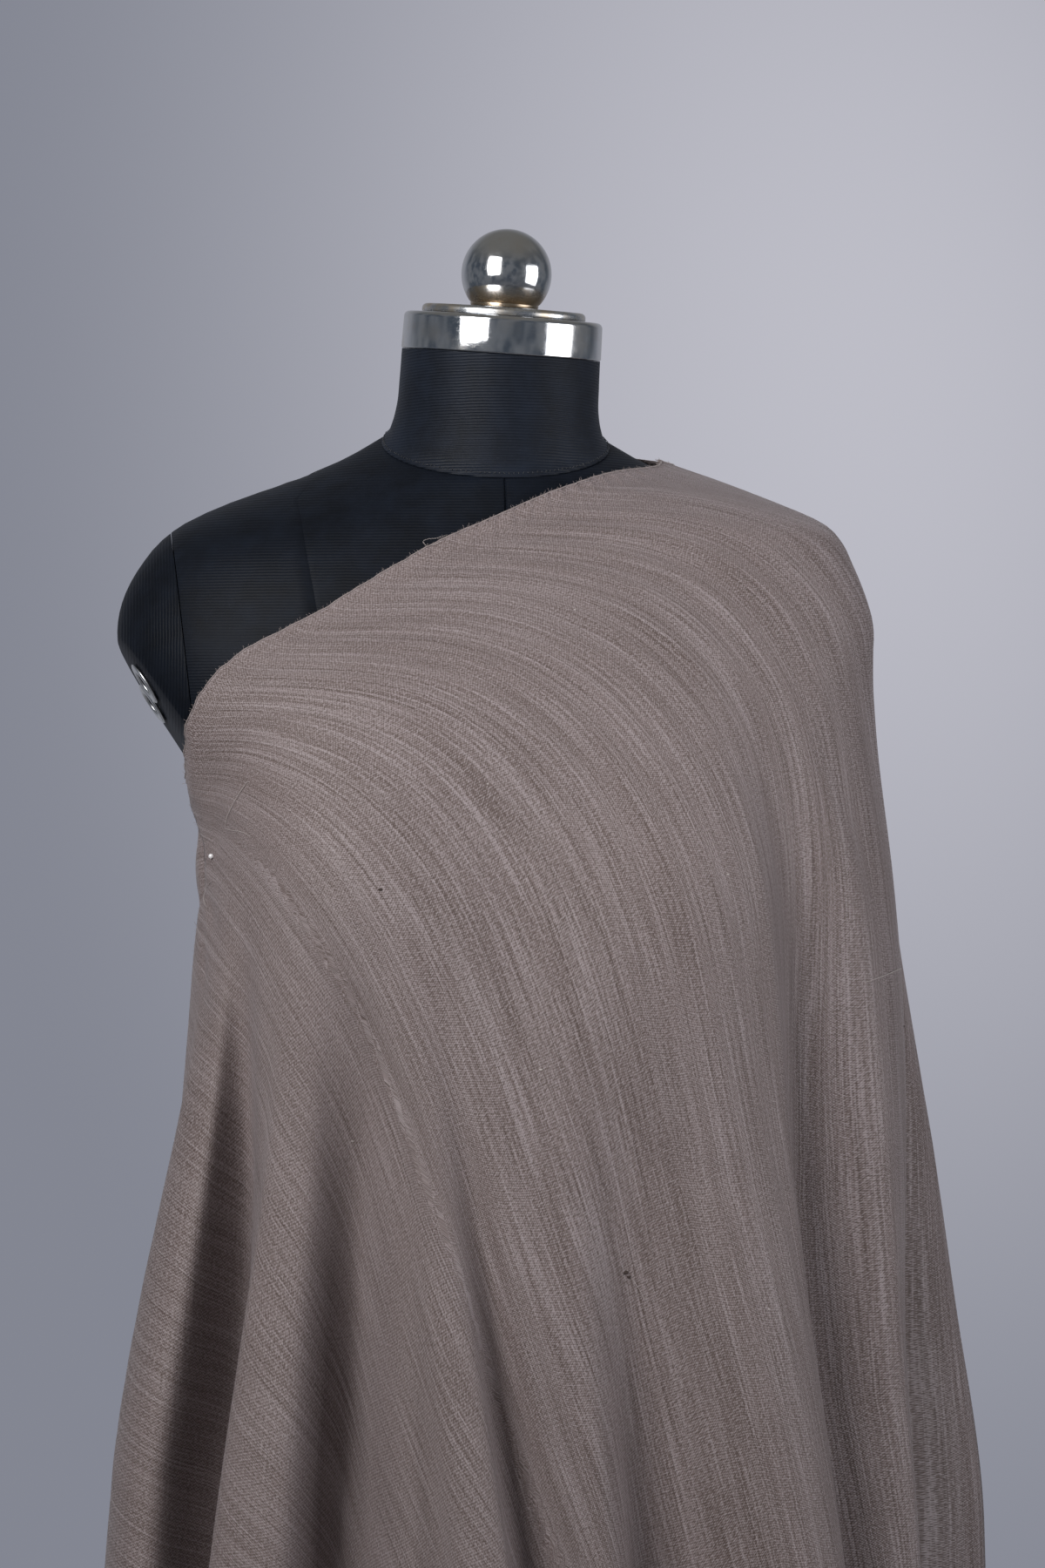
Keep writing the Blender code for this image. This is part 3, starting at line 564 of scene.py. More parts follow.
wool = makeWool()
jerseyLevel = makeJersey("blackJersey", "z")
# The chest and arm stubs take darker copies of the same knit (0.6 and 0.5): painted shade.
jerseyChestPaintedShade = makeJersey("blackJerseyChestPaintedShade", "z", 0.6, 0.5)
jerseyUprightPaintedShade = makeJersey("blackJerseyUprightPaintedShade", "x", 0.5, 0.8)
chrome = makeChrome("polishedChrome", 0.35)
chromeWorn = makeChrome("wornChrome", 1.0, dull=0.14)
chromeBall = makeChrome("ballChrome", 0.25, foot=(1.4655, 1.4745))
eyeletSteel = makeChrome("eyeletSteel", 0.15, worn=0.05, dull=0.20)
paint = makePaint()
print("finishes made", flush=True)

# The padded torso, its panels drawn in along their sewn lines.
torso = {
    "panelColumns": 26,
    "rowStep": 0.0050,
    "seamDepth": 0.0020,
    "seamWidth": 0.010,
    "seamTop": 1.3660,
    "seamFade": 0.004,
    "edgeRound": 0.0012,
}
frontSeam = table("level across", [
    (0.660, 0.060), (0.780, 0.066), (0.975, 0.050), (1.060, 0.066), (1.140, 0.083), (1.240, 0.0946),
    (1.3000, 0.1024), (1.3610, 0.1110), (1.3860, 0.1120),
])
backSeam = table("level across", [
    (0.660, 0.064), (0.780, 0.070), (0.975, 0.048), (1.060, 0.058), (1.140, 0.072), (1.240, 0.0900),
    (1.3000, 0.1010), (1.3610, 0.1110), (1.3860, 0.1120),
])


def seamTurn(seam, middle, levels):
    turns = np.linspace(0.0, 84.0, 169)
    found = []
    for level in levels:
        radius = ringRadius(bodySections, bodyMounds, middle + turns, np.full_like(turns, level))
        reached = np.maximum.accumulate(radius * np.sin(np.radians(turns)))
        found.append(np.interp(float(smooth(seam, "level", "across", np.array(level))), reached, turns))
    return np.array(found)


def bodyRows(step):
    keys = bodySections["level"]
    levels = [keys[0]]
    for low, high in zip(keys, keys[1:]):
        levels += list(np.linspace(low, high, max(2, round((high - low) / step)) + 1)[1:])
    return np.array(levels)


# Six seam lines, three in front and three behind, with a panel of columns between each two.
def torsoMesh(name, seamed=True):
    levels = bodyRows(torso["rowStep"])
    front, back = seamTurn(frontSeam, -90.0, levels), seamTurn(backSeam, 90.0, levels)
    lines = [middle + side * turn for middle, turn in ((-90.0, front), (90.0, back)) for side in (-1, 0, 1)]
    width = torso["seamWidth"]
    inner = np.linspace(3 * width, 1 - 3 * width, torso["panelColumns"])
    shares = np.concatenate([[0.0, width], inner, [1 - width]])
    panels = [line[:, None] + (after - line)[:, None] * shares
              for line, after in zip(lines, lines[1:] + [lines[0] + 360.0])]
    azimuth = np.concatenate(panels, axis=1)
    onSeam = np.tile(np.where(shares == 0.0, 1.0, 0.0), (len(levels), len(lines)))
    fade = ease((torso["seamTop"] - levels) / torso["seamFade"])[:, None]
    # The middle seams, front and back, go on to the top.
    fade = np.where(np.isin(np.arange(azimuth.shape[1]) // len(shares), (1, 4)), 1.0, fade)
    inward = onSeam * fade * (torso["seamDepth"] if seamed else 0.0)
    return gridMesh(name, bodyPoint(azimuth, np.broadcast_to(levels[:, None], azimuth.shape), inward), True)


# Armholes and the slanted ends of the arm stubs, as the solids have them.
armStub = {
    "seamLow": (0.1646, 0.0, 1.2150),
    "seamHigh": (0.1780, 0.0, 1.3360),
    "faceLow": (0.1680, 0.0, 1.2180),
    "faceHigh": (0.2060, 0.0, 1.2755),
    "faceToe": 0.10,
    "seamGap": 0.0005,
    "edgeRound": 0.0016,
}
eyelet = {
    "outer": 0.0125,
    "hole": 0.0070,
    "front": (-0.0115, 0.0440),
    "rear": (0.0130, 0.0330),
    "thick": 0.0011,
    "proud": 0.0003,
}


def blockBeyond(name, point, outward, size=0.3):
    made = bmesh.new()
    bmesh.ops.create_cube(made, size=size)
    bmesh.ops.translate(made, verts=made.verts, vec=(0.0, 0.0, size / 2))
    bmesh.ops.transform(made, matrix=frameAt(point, outward.normalized()), verts=made.verts)
    return newObject(name, meshFrom(name, made))


def cutMesh(mesh, name, steps, roundEdge):
    worked = newObject(name + "Work", mesh)
    for block, operation in steps:
        step = worked.modifiers.new("cut", "BOOLEAN")
        step.operation, step.solver, step.object = operation, "EXACT", block
    soft = worked.modifiers.new("soft", "BEVEL")
    soft.width, soft.segments, soft.limit_method = roundEdge, 3, "ANGLE"
    soft.angle_limit = math.radians(38)
    soft.use_clamp_overlap = True
    result = plainMesh(name, worked)
    for block, _operation in steps:
        bpy.data.objects.remove(block, do_unlink=True)
    result.materials.clear()
    result.set_sharp_from_angle(angle=math.radians(42))
    return result


def stubPoint(key, side):
    x, y, z = armStub[key]
    return Vector((x * side, y, z))


def seamPlane(side):
    low, high = stubPoint("seamLow", side), stubPoint("seamHigh", side)
    seam = high - low
    return low, Vector((abs(seam.z) * side, 0.0, -seam.x * side)).normalized()


def endPlane(side):
    low, high = stubPoint("faceLow", side), stubPoint("faceHigh", side)
    face = (high - low).normalized()
    return low, face, Vector((abs(face.z) * side, -armStub["faceToe"], -abs(face.x))).normalized()


def makeTorso():
    cuts = []
    for side in (-1.0, 1.0):
        low, outward = seamPlane(side)
        cuts.append((blockBeyond("armhole", low - outward * armStub["seamGap"] / 2, outward), "DIFFERENCE"))
    return cutMesh(torsoMesh("torsoPadding"), "torsoPadding", cuts, torso["edgeRound"])


def makeRightStub():
    low, outward = seamPlane(-1.0)
    faceLow, _face, down = endPlane(-1.0)
    steps = [(blockBeyond("stub", low + outward * armStub["seamGap"] / 2, outward), "INTERSECT"),
             (blockBeyond("armEnd", faceLow, down), "DIFFERENCE")]
    return cutMesh(torsoMesh("armStubRight", seamed=False), "armStubRight", steps, armStub["edgeRound"])


# Both stubs are alike, so the left one is the right one mirrored.
def mirroredStub(stub, name):
    made = stub.copy()
    made.name = name
    made.materials.clear()
    made.transform(Matrix.Scale(-1.0, 4, (1.0, 0.0, 0.0)))
    made.flip_normals()
    return made


def eyeletMesh(row, side):
    low, face, down = endPlane(side)
    across, up = eyelet[row]
    deep = down.cross(face).normalized()
    if deep.y < 0:
        deep.negate()
    centre = low + face * up + deep * across
    centre -= down * (centre - low).dot(down)
    middle, half = (eyelet["outer"] + eyelet["hole"]) / 2, (eyelet["outer"] - eyelet["hole"]) / 2
    turns = np.linspace(0, 2 * math.pi, 18, endpoint=False)
    rim = [(middle + half * math.cos(t), eyelet["thick"] * (1 + math.sin(t))) for t in turns]
    return turnedMesh("eyelet", rim, frameAt(centre + down * eyelet["proud"], down), 48, closed=True)


torsoPiece = addPiece("torsoPadding", makeTorso(), jerseyChestPaintedShade, "black_jersey", "form_torso")
rightStub = makeRightStub()
formSkins = [torsoPiece]
for side, tag, name in ((-1.0, "right", "armStubRight"), (1.0, "left", "armStubLeft")):
    stub = rightStub if side < 0 else mirroredStub(rightStub, name)
    formSkins.append(addPiece(name, stub, jerseyUprightPaintedShade, "black_jersey", "arm_cap_" + tag))
    for row in ("front", "rear"):
        addPiece("eyelet" + tag.capitalize() + row.capitalize(), eyeletMesh(row, side), eyeletSteel,
                 "polished_chrome", "eyelet_" + tag + "_" + row)
print("torso and arm stubs made", flush=True)

# The neck and its metal cap, in the cap's own leaning frame.
cap = {
    "centre": (0.0027, -0.0045, 1.4360),
    "leanFront": 6.0,
    "leanSide": 3.4,
    "neckRadius": 0.0546,
    "neckSides": 128,
    "neckStart": 0.0004,
    "bandRadius": 0.0550,
    "bandHeight": 0.0204,
    "bandTaper": 0.0004,
    "bandFoot": 0.0008,
    "bandCrown": 0.0030,
    "plateRadius": 0.0450,
    "plateHeight": 0.0044,
    "plateFoot": 0.0004,
    "plateCrown": 0.0026,
    "ballRadius": 0.0248,
    "ballCentre": 0.0183,
    "ballFoot": [(0.0, 0.0), (0.0170, 0.0), (0.0184, 0.0004), (0.0188, 0.0014), (0.0186, 0.0022)],
    "gap": 0.0003,
}
neckShape = table("share inward", [
    (0.0, 0.0), (0.04, 0.0008), (0.10, 0.0026), (0.20, 0.0036), (0.40, 0.0040), (0.70, 0.0022), (1.0, 0.0),
])
neckHem = table("share inward", [(0.0, 0.0014), (0.004, 0.0004), (0.012, 0.0), (0.03, 0.0)])
leanFront = Matrix.Rotation(math.radians(cap["leanFront"]), 4, "X")
leanSide = Matrix.Rotation(math.radians(cap["leanSide"]), 4, "Y")
capPlace = Matrix.Translation(cap["centre"]) @ (leanFront @ leanSide)


def neckMesh():
    last = {key: column[-1] for key, column in bodySections.items()}
    turns = np.linspace(0.0, 2 * math.pi, cap["neckSides"], endpoint=False)
    across, deep = np.cos(turns), np.sin(turns)
    upper = np.array([capPlace @ Vector((cap["neckRadius"] * c, cap["neckRadius"] * d, 0.0))
                      for c, d in zip(across, deep)])
    reachY = np.where(deep < 0, last["front"], last["back"]) * deep
    lowerLevel = last["level"] + cap["neckStart"] + last["tilt"] * reachY
    lower = np.stack([last["right"] * across, reachY, lowerLevel], axis=-1)
    out = np.stack([across, deep, 0 * deep], axis=-1)
    shares = np.concatenate([neckHem["share"][:3], np.linspace(0.03, 0.985, 40), [0.995, 1.0]])
    rings = []
    for share, roll in zip(shares, np.interp(shares, neckHem["share"], neckHem["inward"])):
        inward = float(smooth(neckShape, "share", "inward", np.array(share))) + roll
        rings.append(lower + (upper - lower) * share - out * inward)
    return gridMesh("neckPadding", np.array(rings), True)


def bandProfile():
    r, h, foot, crown = (cap["band" + key] for key in ("Radius", "Height", "Foot", "Crown"))
    taper = cap["bandTaper"]
    lower = [(0.0, 0.0), (r - foot, 0.0)] + arc(r - foot, foot, foot, -90, 0, 5)[1:]
    side = [(r - taper / 2, h / 2), (r - taper, h - crown)]
    return lower + side + arc(r - taper - crown, h - crown, crown, 8, 90, 10) + [(0.0, h)]


def plateProfile():
    r, h, foot, crown = (cap["plate" + key] for key in ("Radius", "Height", "Foot", "Crown"))
    side = [(0.0, 0.0), (r - foot, 0.0), (r, foot), (r, h - crown)]
    top = [(r - 0.0060, h - 0.0001), (r - 0.0080, h), (0.0, h)]
    return side + arc(r - crown, h - crown, crown, 10, 84, 8) + top


def ballProfile():
    r, centre = cap["ballRadius"], cap["ballCentre"]
    return cap["ballFoot"] + arc(0.0, centre, r, -38.0, 88.0, 44) + [(0.0, centre + r)]


neckPadding = addPiece("neckPadding", neckMesh(), jerseyLevel, "black_jersey", "form_neck")
lift = cap["gap"]
for name, profile, node, finish in (
    ("neckBand", bandProfile(), "neck_ring", chrome),
    ("capPlate", plateProfile(), "cap_plate", chromeWorn),
    ("capBall", ballProfile(), "finial_knob", chromeBall),
):
    mesh = turnedMesh(name, profile, capPlace @ Matrix.Translation((0.0, 0.0, lift)), 128)
    addPiece(name, mesh, finish, "polished_chrome", node)
    lift += profile[-1][1] + cap["gap"]

# The pole with its flange under the torso, and the round base.
stand = {
    "poleRadius": 0.0160,
    "flangeRadius": 0.060,
    "flangeHeight": 0.008,
    "flangeEdge": 0.001,
    "baseRadius": 0.180,
    "baseHeight": 0.012,
    "baseFoot": 0.002,
    "baseCrown": 0.005,
    "collarRadius": 0.034,
    "gap": 0.0003,
}


def poleProfile():
    top, low = bodySections["level"][0] - stand["gap"], stand["baseHeight"] + stand["gap"]
    r, f, edge = stand["poleRadius"], stand["flangeRadius"], stand["flangeEdge"]
    under = top - stand["flangeHeight"]
    side = [(r, z) for z in np.linspace(low, under, 12)]
    flange = [(f - edge, under), (f, under + edge), (f, top - edge), (f - edge, top), (0.0, top)]
    return [(0.0, low)] + side + flange


def baseProfile():
    r, h, foot, crown = (stand["base" + key] for key in ("Radius", "Height", "Foot", "Crown"))
    side = [(0.0, 0.0), (r - foot, 0.0), (r, foot), (r, h - crown)]
    return side + arc(r - crown, h - crown, crown, 10, 90, 7) + [(stand["collarRadius"], h), (0.0, h)]


for name, profile, sides, finish, slotName, node in (
    ("standPole", poleProfile(), 64, chrome, "polished_chrome", "pole"),
    ("standBase", baseProfile(), 128, paint, "black_painted_steel", "base"),
):
    addPiece(name, turnedMesh(name, profile, Matrix.Identity(4), sides), finish, slotName, node)
print("neck, cap and stand made", flush=True)

# The stole, one sheet from its front end over the shoulder to its back end.
stole = {
    "flatSize": (0.70, 1.80),
    "columns": 372,
    "rows": 118,
    "wall": 0.0008,
    "clearance": 0.0023,
    "frontEnd": -184.0,
    "backEnd": 190.0,
    "parting": 8.0,
    "partingMargin": 4.0,
    "pinPullStart": 0.86,
    "lapStep": 0.0042,
    "lapFrom": 159.0,
    "lapReach": 9.0,
    "lapShares": (0.6, -0.4),
    "backOut": 0.0055,
    "backOutLevel": 1.155,
    "backOutReach": 0.030,
    "backOutAzimuths": (166.0, 193.0),
    "backOutFades": (8.0, 6.0),
    "restsAbove": 0.64,
    "softenRounds": (40, 2),
    "secondClearance": 0.96,
    "edgeWave": 0.0011,
    "edgeFade": 0.010,
}
# Direction of the weft threads: degrees downwards from level, by azimuth (columns) and level (rows).
threadAzimuths = np.array([-180, -165, -150, -135, -120, -105, -90, -75, -60, -45, -30, -15, 0, 8.0])
threadLevels = np.array([
    1.375, 1.350, 1.320, 1.290, 1.260, 1.230, 1.200, 1.160, 1.120, 1.060, 1.000, 0.920, 0.840,
])
threadTurns = np.array([
    (13, 1, -6, -8, -8, -6, -8, -8, -5, 0, 12, 37, 59, 90),
    (15, 2, -7, -10, -8, -4, -2, 0, 4, 10, 24, 49, 68, 90),
    (11, 4, -6, -9, -6, 0, 7, 12, 18, 27, 43, 64, 78, 90),
    (8, 3, -6, -5, 1, 9, 18, 25, 33, 43, 60, 77, 85, 90),
    (7, 3, -4, 3, 12, 22, 31, 39, 46, 56, 72, 83, 89, 90),
    (7, 4, 2, 13, 26, 36, 44, 49, 55, 65, 79, 85, 89, 90),
    (8, 7, 10, 24, 39, 49, 53, 57, 63, 74, 85, 87, 90, 90),
    (8, 11, 25, 38, 52, 58, 61, 64, 71, 83, 89, 89, 90, 90),
    (8, 16, 34, 51, 60, 65, 68, 71, 75, 83, 88, 89, 90, 90),
    (10, 21, 39, 58, 66, 69, 71, 72, 76, 81, 85, 88, 90, 90),
    (20, 31, 47, 63, 70, 72, 72, 71, 75, 80, 83, 87, 90, 90),
    (22, 35, 52, 67, 70, 72, 70, 69, 72, 78, 83, 86, 90, 90),
    (22, 32, 48, 62, 66, 68, 69, 70, 72, 78, 84, 87, 90, 90),
], dtype=float)


def gridAt(grid, rows, columns, row, column):
    i = np.clip(np.interp(row, rows, np.arange(len(rows))), 0, len(rows) - 1.001)
    j = np.clip(np.interp(column, columns, np.arange(len(columns))), 0, len(columns) - 1.001)
    i0, j0 = i.astype(int), j.astype(int)
    u, v = i - i0, j - j0
    first = grid[i0, j0] * (1 - v) + grid[i0, j0 + 1] * v
    second = grid[i0 + 1, j0] * (1 - v) + grid[i0 + 1, j0 + 1] * v
    return first * (1 - u) + second * u


def edgeLevel(azimuth):
    front = smooth(frontNeckline, "azimuth", "level", azimuth)
    return np.where(azimuth <= stole["parting"], front, smooth(backNeckline, "azimuth", "level", azimuth))


def flatPoint(azimuth, level):
    return drapePoint(azimuth, level, folded=False)


# Where the threads are followed: azimuths and levels of the grid, how near the selvedge they turn square
# to it and how far, the length of a step, most steps, and degrees past both ends where they stop.
threadRun = {
    "azimuths": (-190.0, 198.0, 195),
    "levels": (0.08, 1.395, 132),
    "squareReach": 0.006,
    "squareShare": 0.85,
    "step": 0.004,
    "mostSteps": 420,
    "pastFront": 4.0,
    "pastBack": 6.0,
}


def threadField():
    azimuth, level = np.linspace(*threadRun["azimuths"]), np.linspace(*threadRun["levels"])
    gridLevel, gridAzimuth = np.meshgrid(level, azimuth, indexing="ij")
    alongAzimuth = flatPoint(gridAzimuth + 0.5, gridLevel) - flatPoint(gridAzimuth - 0.5, gridLevel)
    alongDown = flatPoint(gridAzimuth, gridLevel - 0.002) - flatPoint(gridAzimuth, gridLevel + 0.002)
    alongDown = alongDown / 0.004
    size = np.linalg.norm(alongAzimuth, axis=-1)
    shear = (alongAzimuth * alongDown).sum(-1) / size
    fall = np.sqrt(np.maximum((alongDown**2).sum(-1) - shear**2, 1e-4))
    way = np.where(gridAzimuth <= stole["parting"], 1.0, -1.0)
    mirrored = np.where(way > 0, gridAzimuth, 2 * stole["parting"] - gridAzimuth)
    turn = np.radians(gridAt(threadTurns[::-1], threadLevels[::-1], threadAzimuths, gridLevel, mirrored))
    slope = edgeLevel(gridAzimuth + 0.5) - edgeLevel(gridAzimuth - 0.5)
    upRise, upRun = -slope * fall, size - slope * shear
    square = np.arctan2(np.abs(upRun), -upRise * way)
    below = np.maximum(edgeLevel(gridAzimuth) - gridLevel, 0.0) * fall
    turn = turn + (square - turn) * np.exp(-below / threadRun["squareReach"]) * threadRun["squareShare"]
    down = np.sin(turn) / fall
    return azimuth, level, down, (np.cos(turn) * way - down * shear) / size


# How far a step may go before it leaves the cloth.
def stepShare(room, nextRoom):
    return np.where(nextRoom < 0, room / np.maximum(room - nextRoom, 1e-9), 1.0)


# Each point's thread is followed up to the selvedge. The steps give v, the place on the edge gives u.
def threadPlaces(azimuth, level):
    columns, rows, downGrid, sidewaysGrid = threadField()
    a, l = azimuth.ravel().copy(), level.ravel().copy()
    front = a <= stole["parting"]
    end = np.where(front, stole["frontEnd"] - threadRun["pastFront"],
                   stole["backEnd"] + threadRun["pastBack"])
    way = np.where(front, 1.0, -1.0)
    travelled, going = np.zeros_like(a), np.ones(a.shape, dtype=bool)
    step = threadRun["step"]
    for _turn in range(threadRun["mostSteps"]):
        live = np.flatnonzero(going)
        if not len(live):
            break
        down = gridAt(downGrid, rows, columns, l[live], a[live])
        sideways = gridAt(sidewaysGrid, rows, columns, l[live], a[live])
        nextL, nextA = l[live] + down * step, a[live] - sideways * step
        room, nextRoom = edgeLevel(a[live]) - l[live], edgeLevel(nextA) - nextL
        sideRoom, nextSideRoom = (a[live] - end[live]) * way[live], (nextA - end[live]) * way[live]
        share = np.minimum(stepShare(room, nextRoom), stepShare(sideRoom, nextSideRoom))
        share = np.clip(share, 0.0, 1.0)
        l[live] += (nextL - l[live]) * share
        a[live] += (nextA - a[live]) * share
        travelled[live] += step * share
        going[live] = (nextRoom >= 0) & (nextSideRoom >= 0)
    along = np.zeros_like(a)
    for way, neckline, mask in ((-1.0, frontNeckline, front), (1.0, backNeckline, ~front)):
        steps = np.linspace(stole["parting"], neckline["azimuth"][-1], 400)
        line = flatPoint(steps, smooth(neckline, "azimuth", "level", steps))
        run = np.concatenate([[0.0], np.cumsum(np.linalg.norm(np.diff(line, axis=0), axis=1))])
        order = np.argsort(steps)
        onEdge = np.interp(a, steps[order], run[order]) + np.maximum(edgeLevel(a) - l, 0.0)
        along = np.where(mask, onEdge * way, along)
    return np.stack([along, travelled], axis=-1).reshape(*azimuth.shape, 2)


# Small soft creases: start and end as azimuth and level, half width and depth (ridges positive).
smallCreases = [
    (-172.0, 1.158, -158.0, 1.120, 0.007, -0.0016),
    (-172.0, 1.166, -152.0, 1.176, 0.006, -0.0011),
    (-171.0, 1.150, -160.0, 1.075, 0.006, -0.0013),
    (-46.0, 1.345, -22.0, 1.255, 0.016, -0.0022),
    (-30.0, 1.350, -12.0, 1.300, 0.012, -0.0014),
    (-26.0, 1.240, -16.0, 1.120, 0.010, -0.0020),
    (-66.0, 1.010, -44.0, 0.985, 0.010, -0.0012),
    (-40.0, 0.990, -22.0, 0.975, 0.010, -0.0010),
    (-96.0, 1.180, -86.0, 1.060, 0.018, -0.0016),
    (-118.0, 1.300, -100.0, 1.240, 0.020, -0.0010),
    (-140.0, 1.120, -146.0, 1.000, 0.010, 0.0012),
    (50.0, 1.340, 28.0, 1.250, 0.016, -0.0022),
    (72.0, 1.300, 60.0, 1.180, 0.018, -0.0018),
    (118.0, 1.260, 104.0, 1.150, 0.018, -0.0016),
    (186.0, 1.150, 168.0, 1.105, 0.008, -0.0016),
    (184.0, 1.170, 162.0, 1.165, 0.007, -0.0012),
    (140.0, 1.150, 150.0, 1.010, 0.012, 0.0014),
]
creaseRadius = 0.165  # the cloth's usual radius, which makes degrees into metres


def creaseDepth(azimuth, level):
    total = np.zeros_like(azimuth)
    metres = math.radians(1.0) * creaseRadius
    for a0, l0, a1, l1, width, depth in smallCreases:
        dx, dy = (a1 - a0) * metres, l1 - l0
        px, py = (azimuth - a0) * metres, level - l0
        share = np.clip((px * dx + py * dy) / (dx * dx + dy * dy), 0.0, 1.0)
        away = np.hypot(px - share * dx, py - share * dy)
        strength = np.sin(math.pi * np.clip(share * 0.8 + 0.1, 0, 1))  # less towards its ends
        total = total + depth * np.exp(-((away / width) ** 2)) * strength
    return total


def clearanceTrees(pieces):
    trees = []
    for piece in pieces:
        made = bmesh.new()
        made.from_mesh(piece.data)
        bmesh.ops.triangulate(made, faces=made.faces)
        trees.append(BVHTree.FromBMesh(made))
        made.free()
    return trees


# How far a point has to go to stand clear of the form: search within reach, three rounds at most.
def liftOff(point, trees, clear, reach=0.03):
    start = Vector(point)
    p = start.copy()
    for _turn in range(3):
        moved = False
        for tree in trees:
            where, normal, _index, _far = tree.find_nearest(p, reach)
            if where is None:
                continue
            off = p - where
            inside = off.dot(normal) < -0.7 * off.length or off.length < 1e-6
            if inside or off.length < clear:
                p = where + (normal * clear if inside else off * (clear / off.length))
                moved = True
        if not moved:
            break
    return p - start


def softened(lift, rounds):
    for _turn in range(rounds):
        wide = np.pad(lift, ((1, 1), (1, 1), (0, 0)), mode="edge")
        near = wide[:-2, 1:-1] + wide[2:, 1:-1] + wide[1:-1, :-2] + wide[1:-1, 2:]
        lift = lift * 0.5 + near * 0.125
    return lift


def restOn(points, trees, clear):
    lift = np.zeros_like(points)
    for index in map(tuple, np.argwhere(points[..., 2] > stole["restsAbove"])):
        lift[index] = liftOff(points[index], trees, clear[index])
    return lift


def stoleGrid():
    frontEnd, backEnd = stole["frontEnd"], stole["backEnd"]
    columns = np.linspace(frontEnd, backEnd, stole["columns"] + 1)
    down = np.linspace(0.0, 1.0, stole["rows"] + 1)[:, None]
    down = 0.35 * down + 0.65 * down**1.7  # the rows stand closer together near the selvedge
    front = columns <= stole["parting"]
    bottom = np.where(front, smooth(frontHem, "azimuth", "level", columns),
                      smooth(backHem, "azimuth", "level", columns))
    top = edgeLevel(columns)
    level = top + (bottom - top) * down
    frontStart = stole["parting"] + stole["partingMargin"]
    backStart = stole["parting"] - stole["partingMargin"]
    across = np.where(front, (frontStart - columns) / (frontStart - frontEnd),
                      (columns - backStart) / (backEnd - backStart))
    reach = np.where(front, smooth(sideEdges, "level", "front", level) - frontEnd,
                     smooth(sideEdges, "level", "back", level) - backEnd)
    start = stole["pinPullStart"]
    azimuth = columns + reach * ease((across - start) / (1 - start))
    return azimuth, level, front


# How far the cloth stands out: the lap of both ends, creases, a wavy edge and the turned-out back end.
def smallRelief(azimuth, level, front, lap):
    frontShare, backShare = stole["lapShares"]
    lapped = np.where(front, stole["lapStep"] * frontShare, stole["lapStep"] * backShare) * lap
    outset = lapped + creaseDepth(azimuth, level)
    nearEdge = np.exp(-np.maximum(edgeLevel(azimuth) - level, 0.0) / stole["edgeFade"])
    waves = np.sin(azimuth * 0.83) + 0.7 * np.sin(azimuth * 1.71 + 1.3) + 0.5 * np.sin(azimuth * 3.30 + 0.4)
    outset = outset + stole["edgeWave"] * nearEdge * (1.0 + waves * 0.5)
    nearPin = np.exp(-(((level - stole["backOutLevel"]) / stole["backOutReach"]) ** 2))
    turnedOut = np.where(front, 0.0, stole["backOut"]) * nearPin
    (start, end), (fadeIn, fadeOut) = stole["backOutAzimuths"], stole["backOutFades"]
    return outset + turnedOut * ease((azimuth - start) / fadeIn) * ease((end - azimuth) / fadeOut)


def makeStole():
    azimuth, level, front = stoleGrid()
    points = drapePoint(azimuth, level)
    lap = ease((np.abs(azimuth) - stole["lapFrom"]) / stole["lapReach"])
    outset = smallRelief(azimuth, level, front, lap)
    a = np.radians(azimuth)
    points[..., 0] += outset * np.cos(a)
    points[..., 1] += outset * np.sin(a)
    trees = clearanceTrees(formSkins)
    clear = stole["clearance"] + np.where(front, lap * stole["lapStep"], 0.0)
    for share, rounds in zip((1.0, stole["secondClearance"]), stole["softenRounds"]):
        points = points + softened(restOn(points, trees, clear * share), rounds)
    mesh = gridMesh("stoleCloth", points, uv=threadPlaces(azimuth, level))
    middle = mesh.polygons[len(mesh.polygons) // 2]
    if middle.normal.x * middle.center.x + middle.normal.y * middle.center.y < 0:
        mesh.flip_normals()
    return mesh, points


stoleMesh, stolePoints = makeStole()
stolePiece = addPiece("stoleCloth", stoleMesh, wool, "taupe_wool", "stole_front", "stole_back")
wall = stolePiece.modifiers.new("wall", "SOLIDIFY")
wall.thickness, wall.offset, wall.use_even_offset = stole["wall"], -1.0, False
print("stole draped", flush=True)

# Small things on the cloth are set out by where the camera sees them, then lie on the cloth itself.
turn = math.radians(view["azimuth"])
sideAxis = Vector((math.cos(turn), math.sin(turn), 0.0))
forward = Vector((-math.sin(turn), math.cos(turn), 0.0))
offAxis = (view["width"] / 2 - view["axisColumn"]) * view["metresPerPixel"]
eye = sideAxis * offAxis + Vector((0.0, 0.0, view["aimHeight"])) - forward * view["distance"]
seenTrees = clearanceTrees([stolePiece, torsoPiece])


def onCloth(column, row, lift=0.0):
    across = (column - view["width"] / 2) * view["metresPerPixel"]
    up = (view["height"] / 2 - row) * view["metresPerPixel"]
    ray = (forward * view["distance"] + sideAxis * across + Vector((0.0, 0.0, up))).normalized()
    hits = [tree.ray_cast(eye, ray) for tree in seenTrees]
    where, normal, _index, _far = min((hit for hit in hits if hit[0] is not None), key=lambda hit: hit[3])
    if normal.dot(ray) > 0:
        normal = -normal
    return where + normal * lift, normal


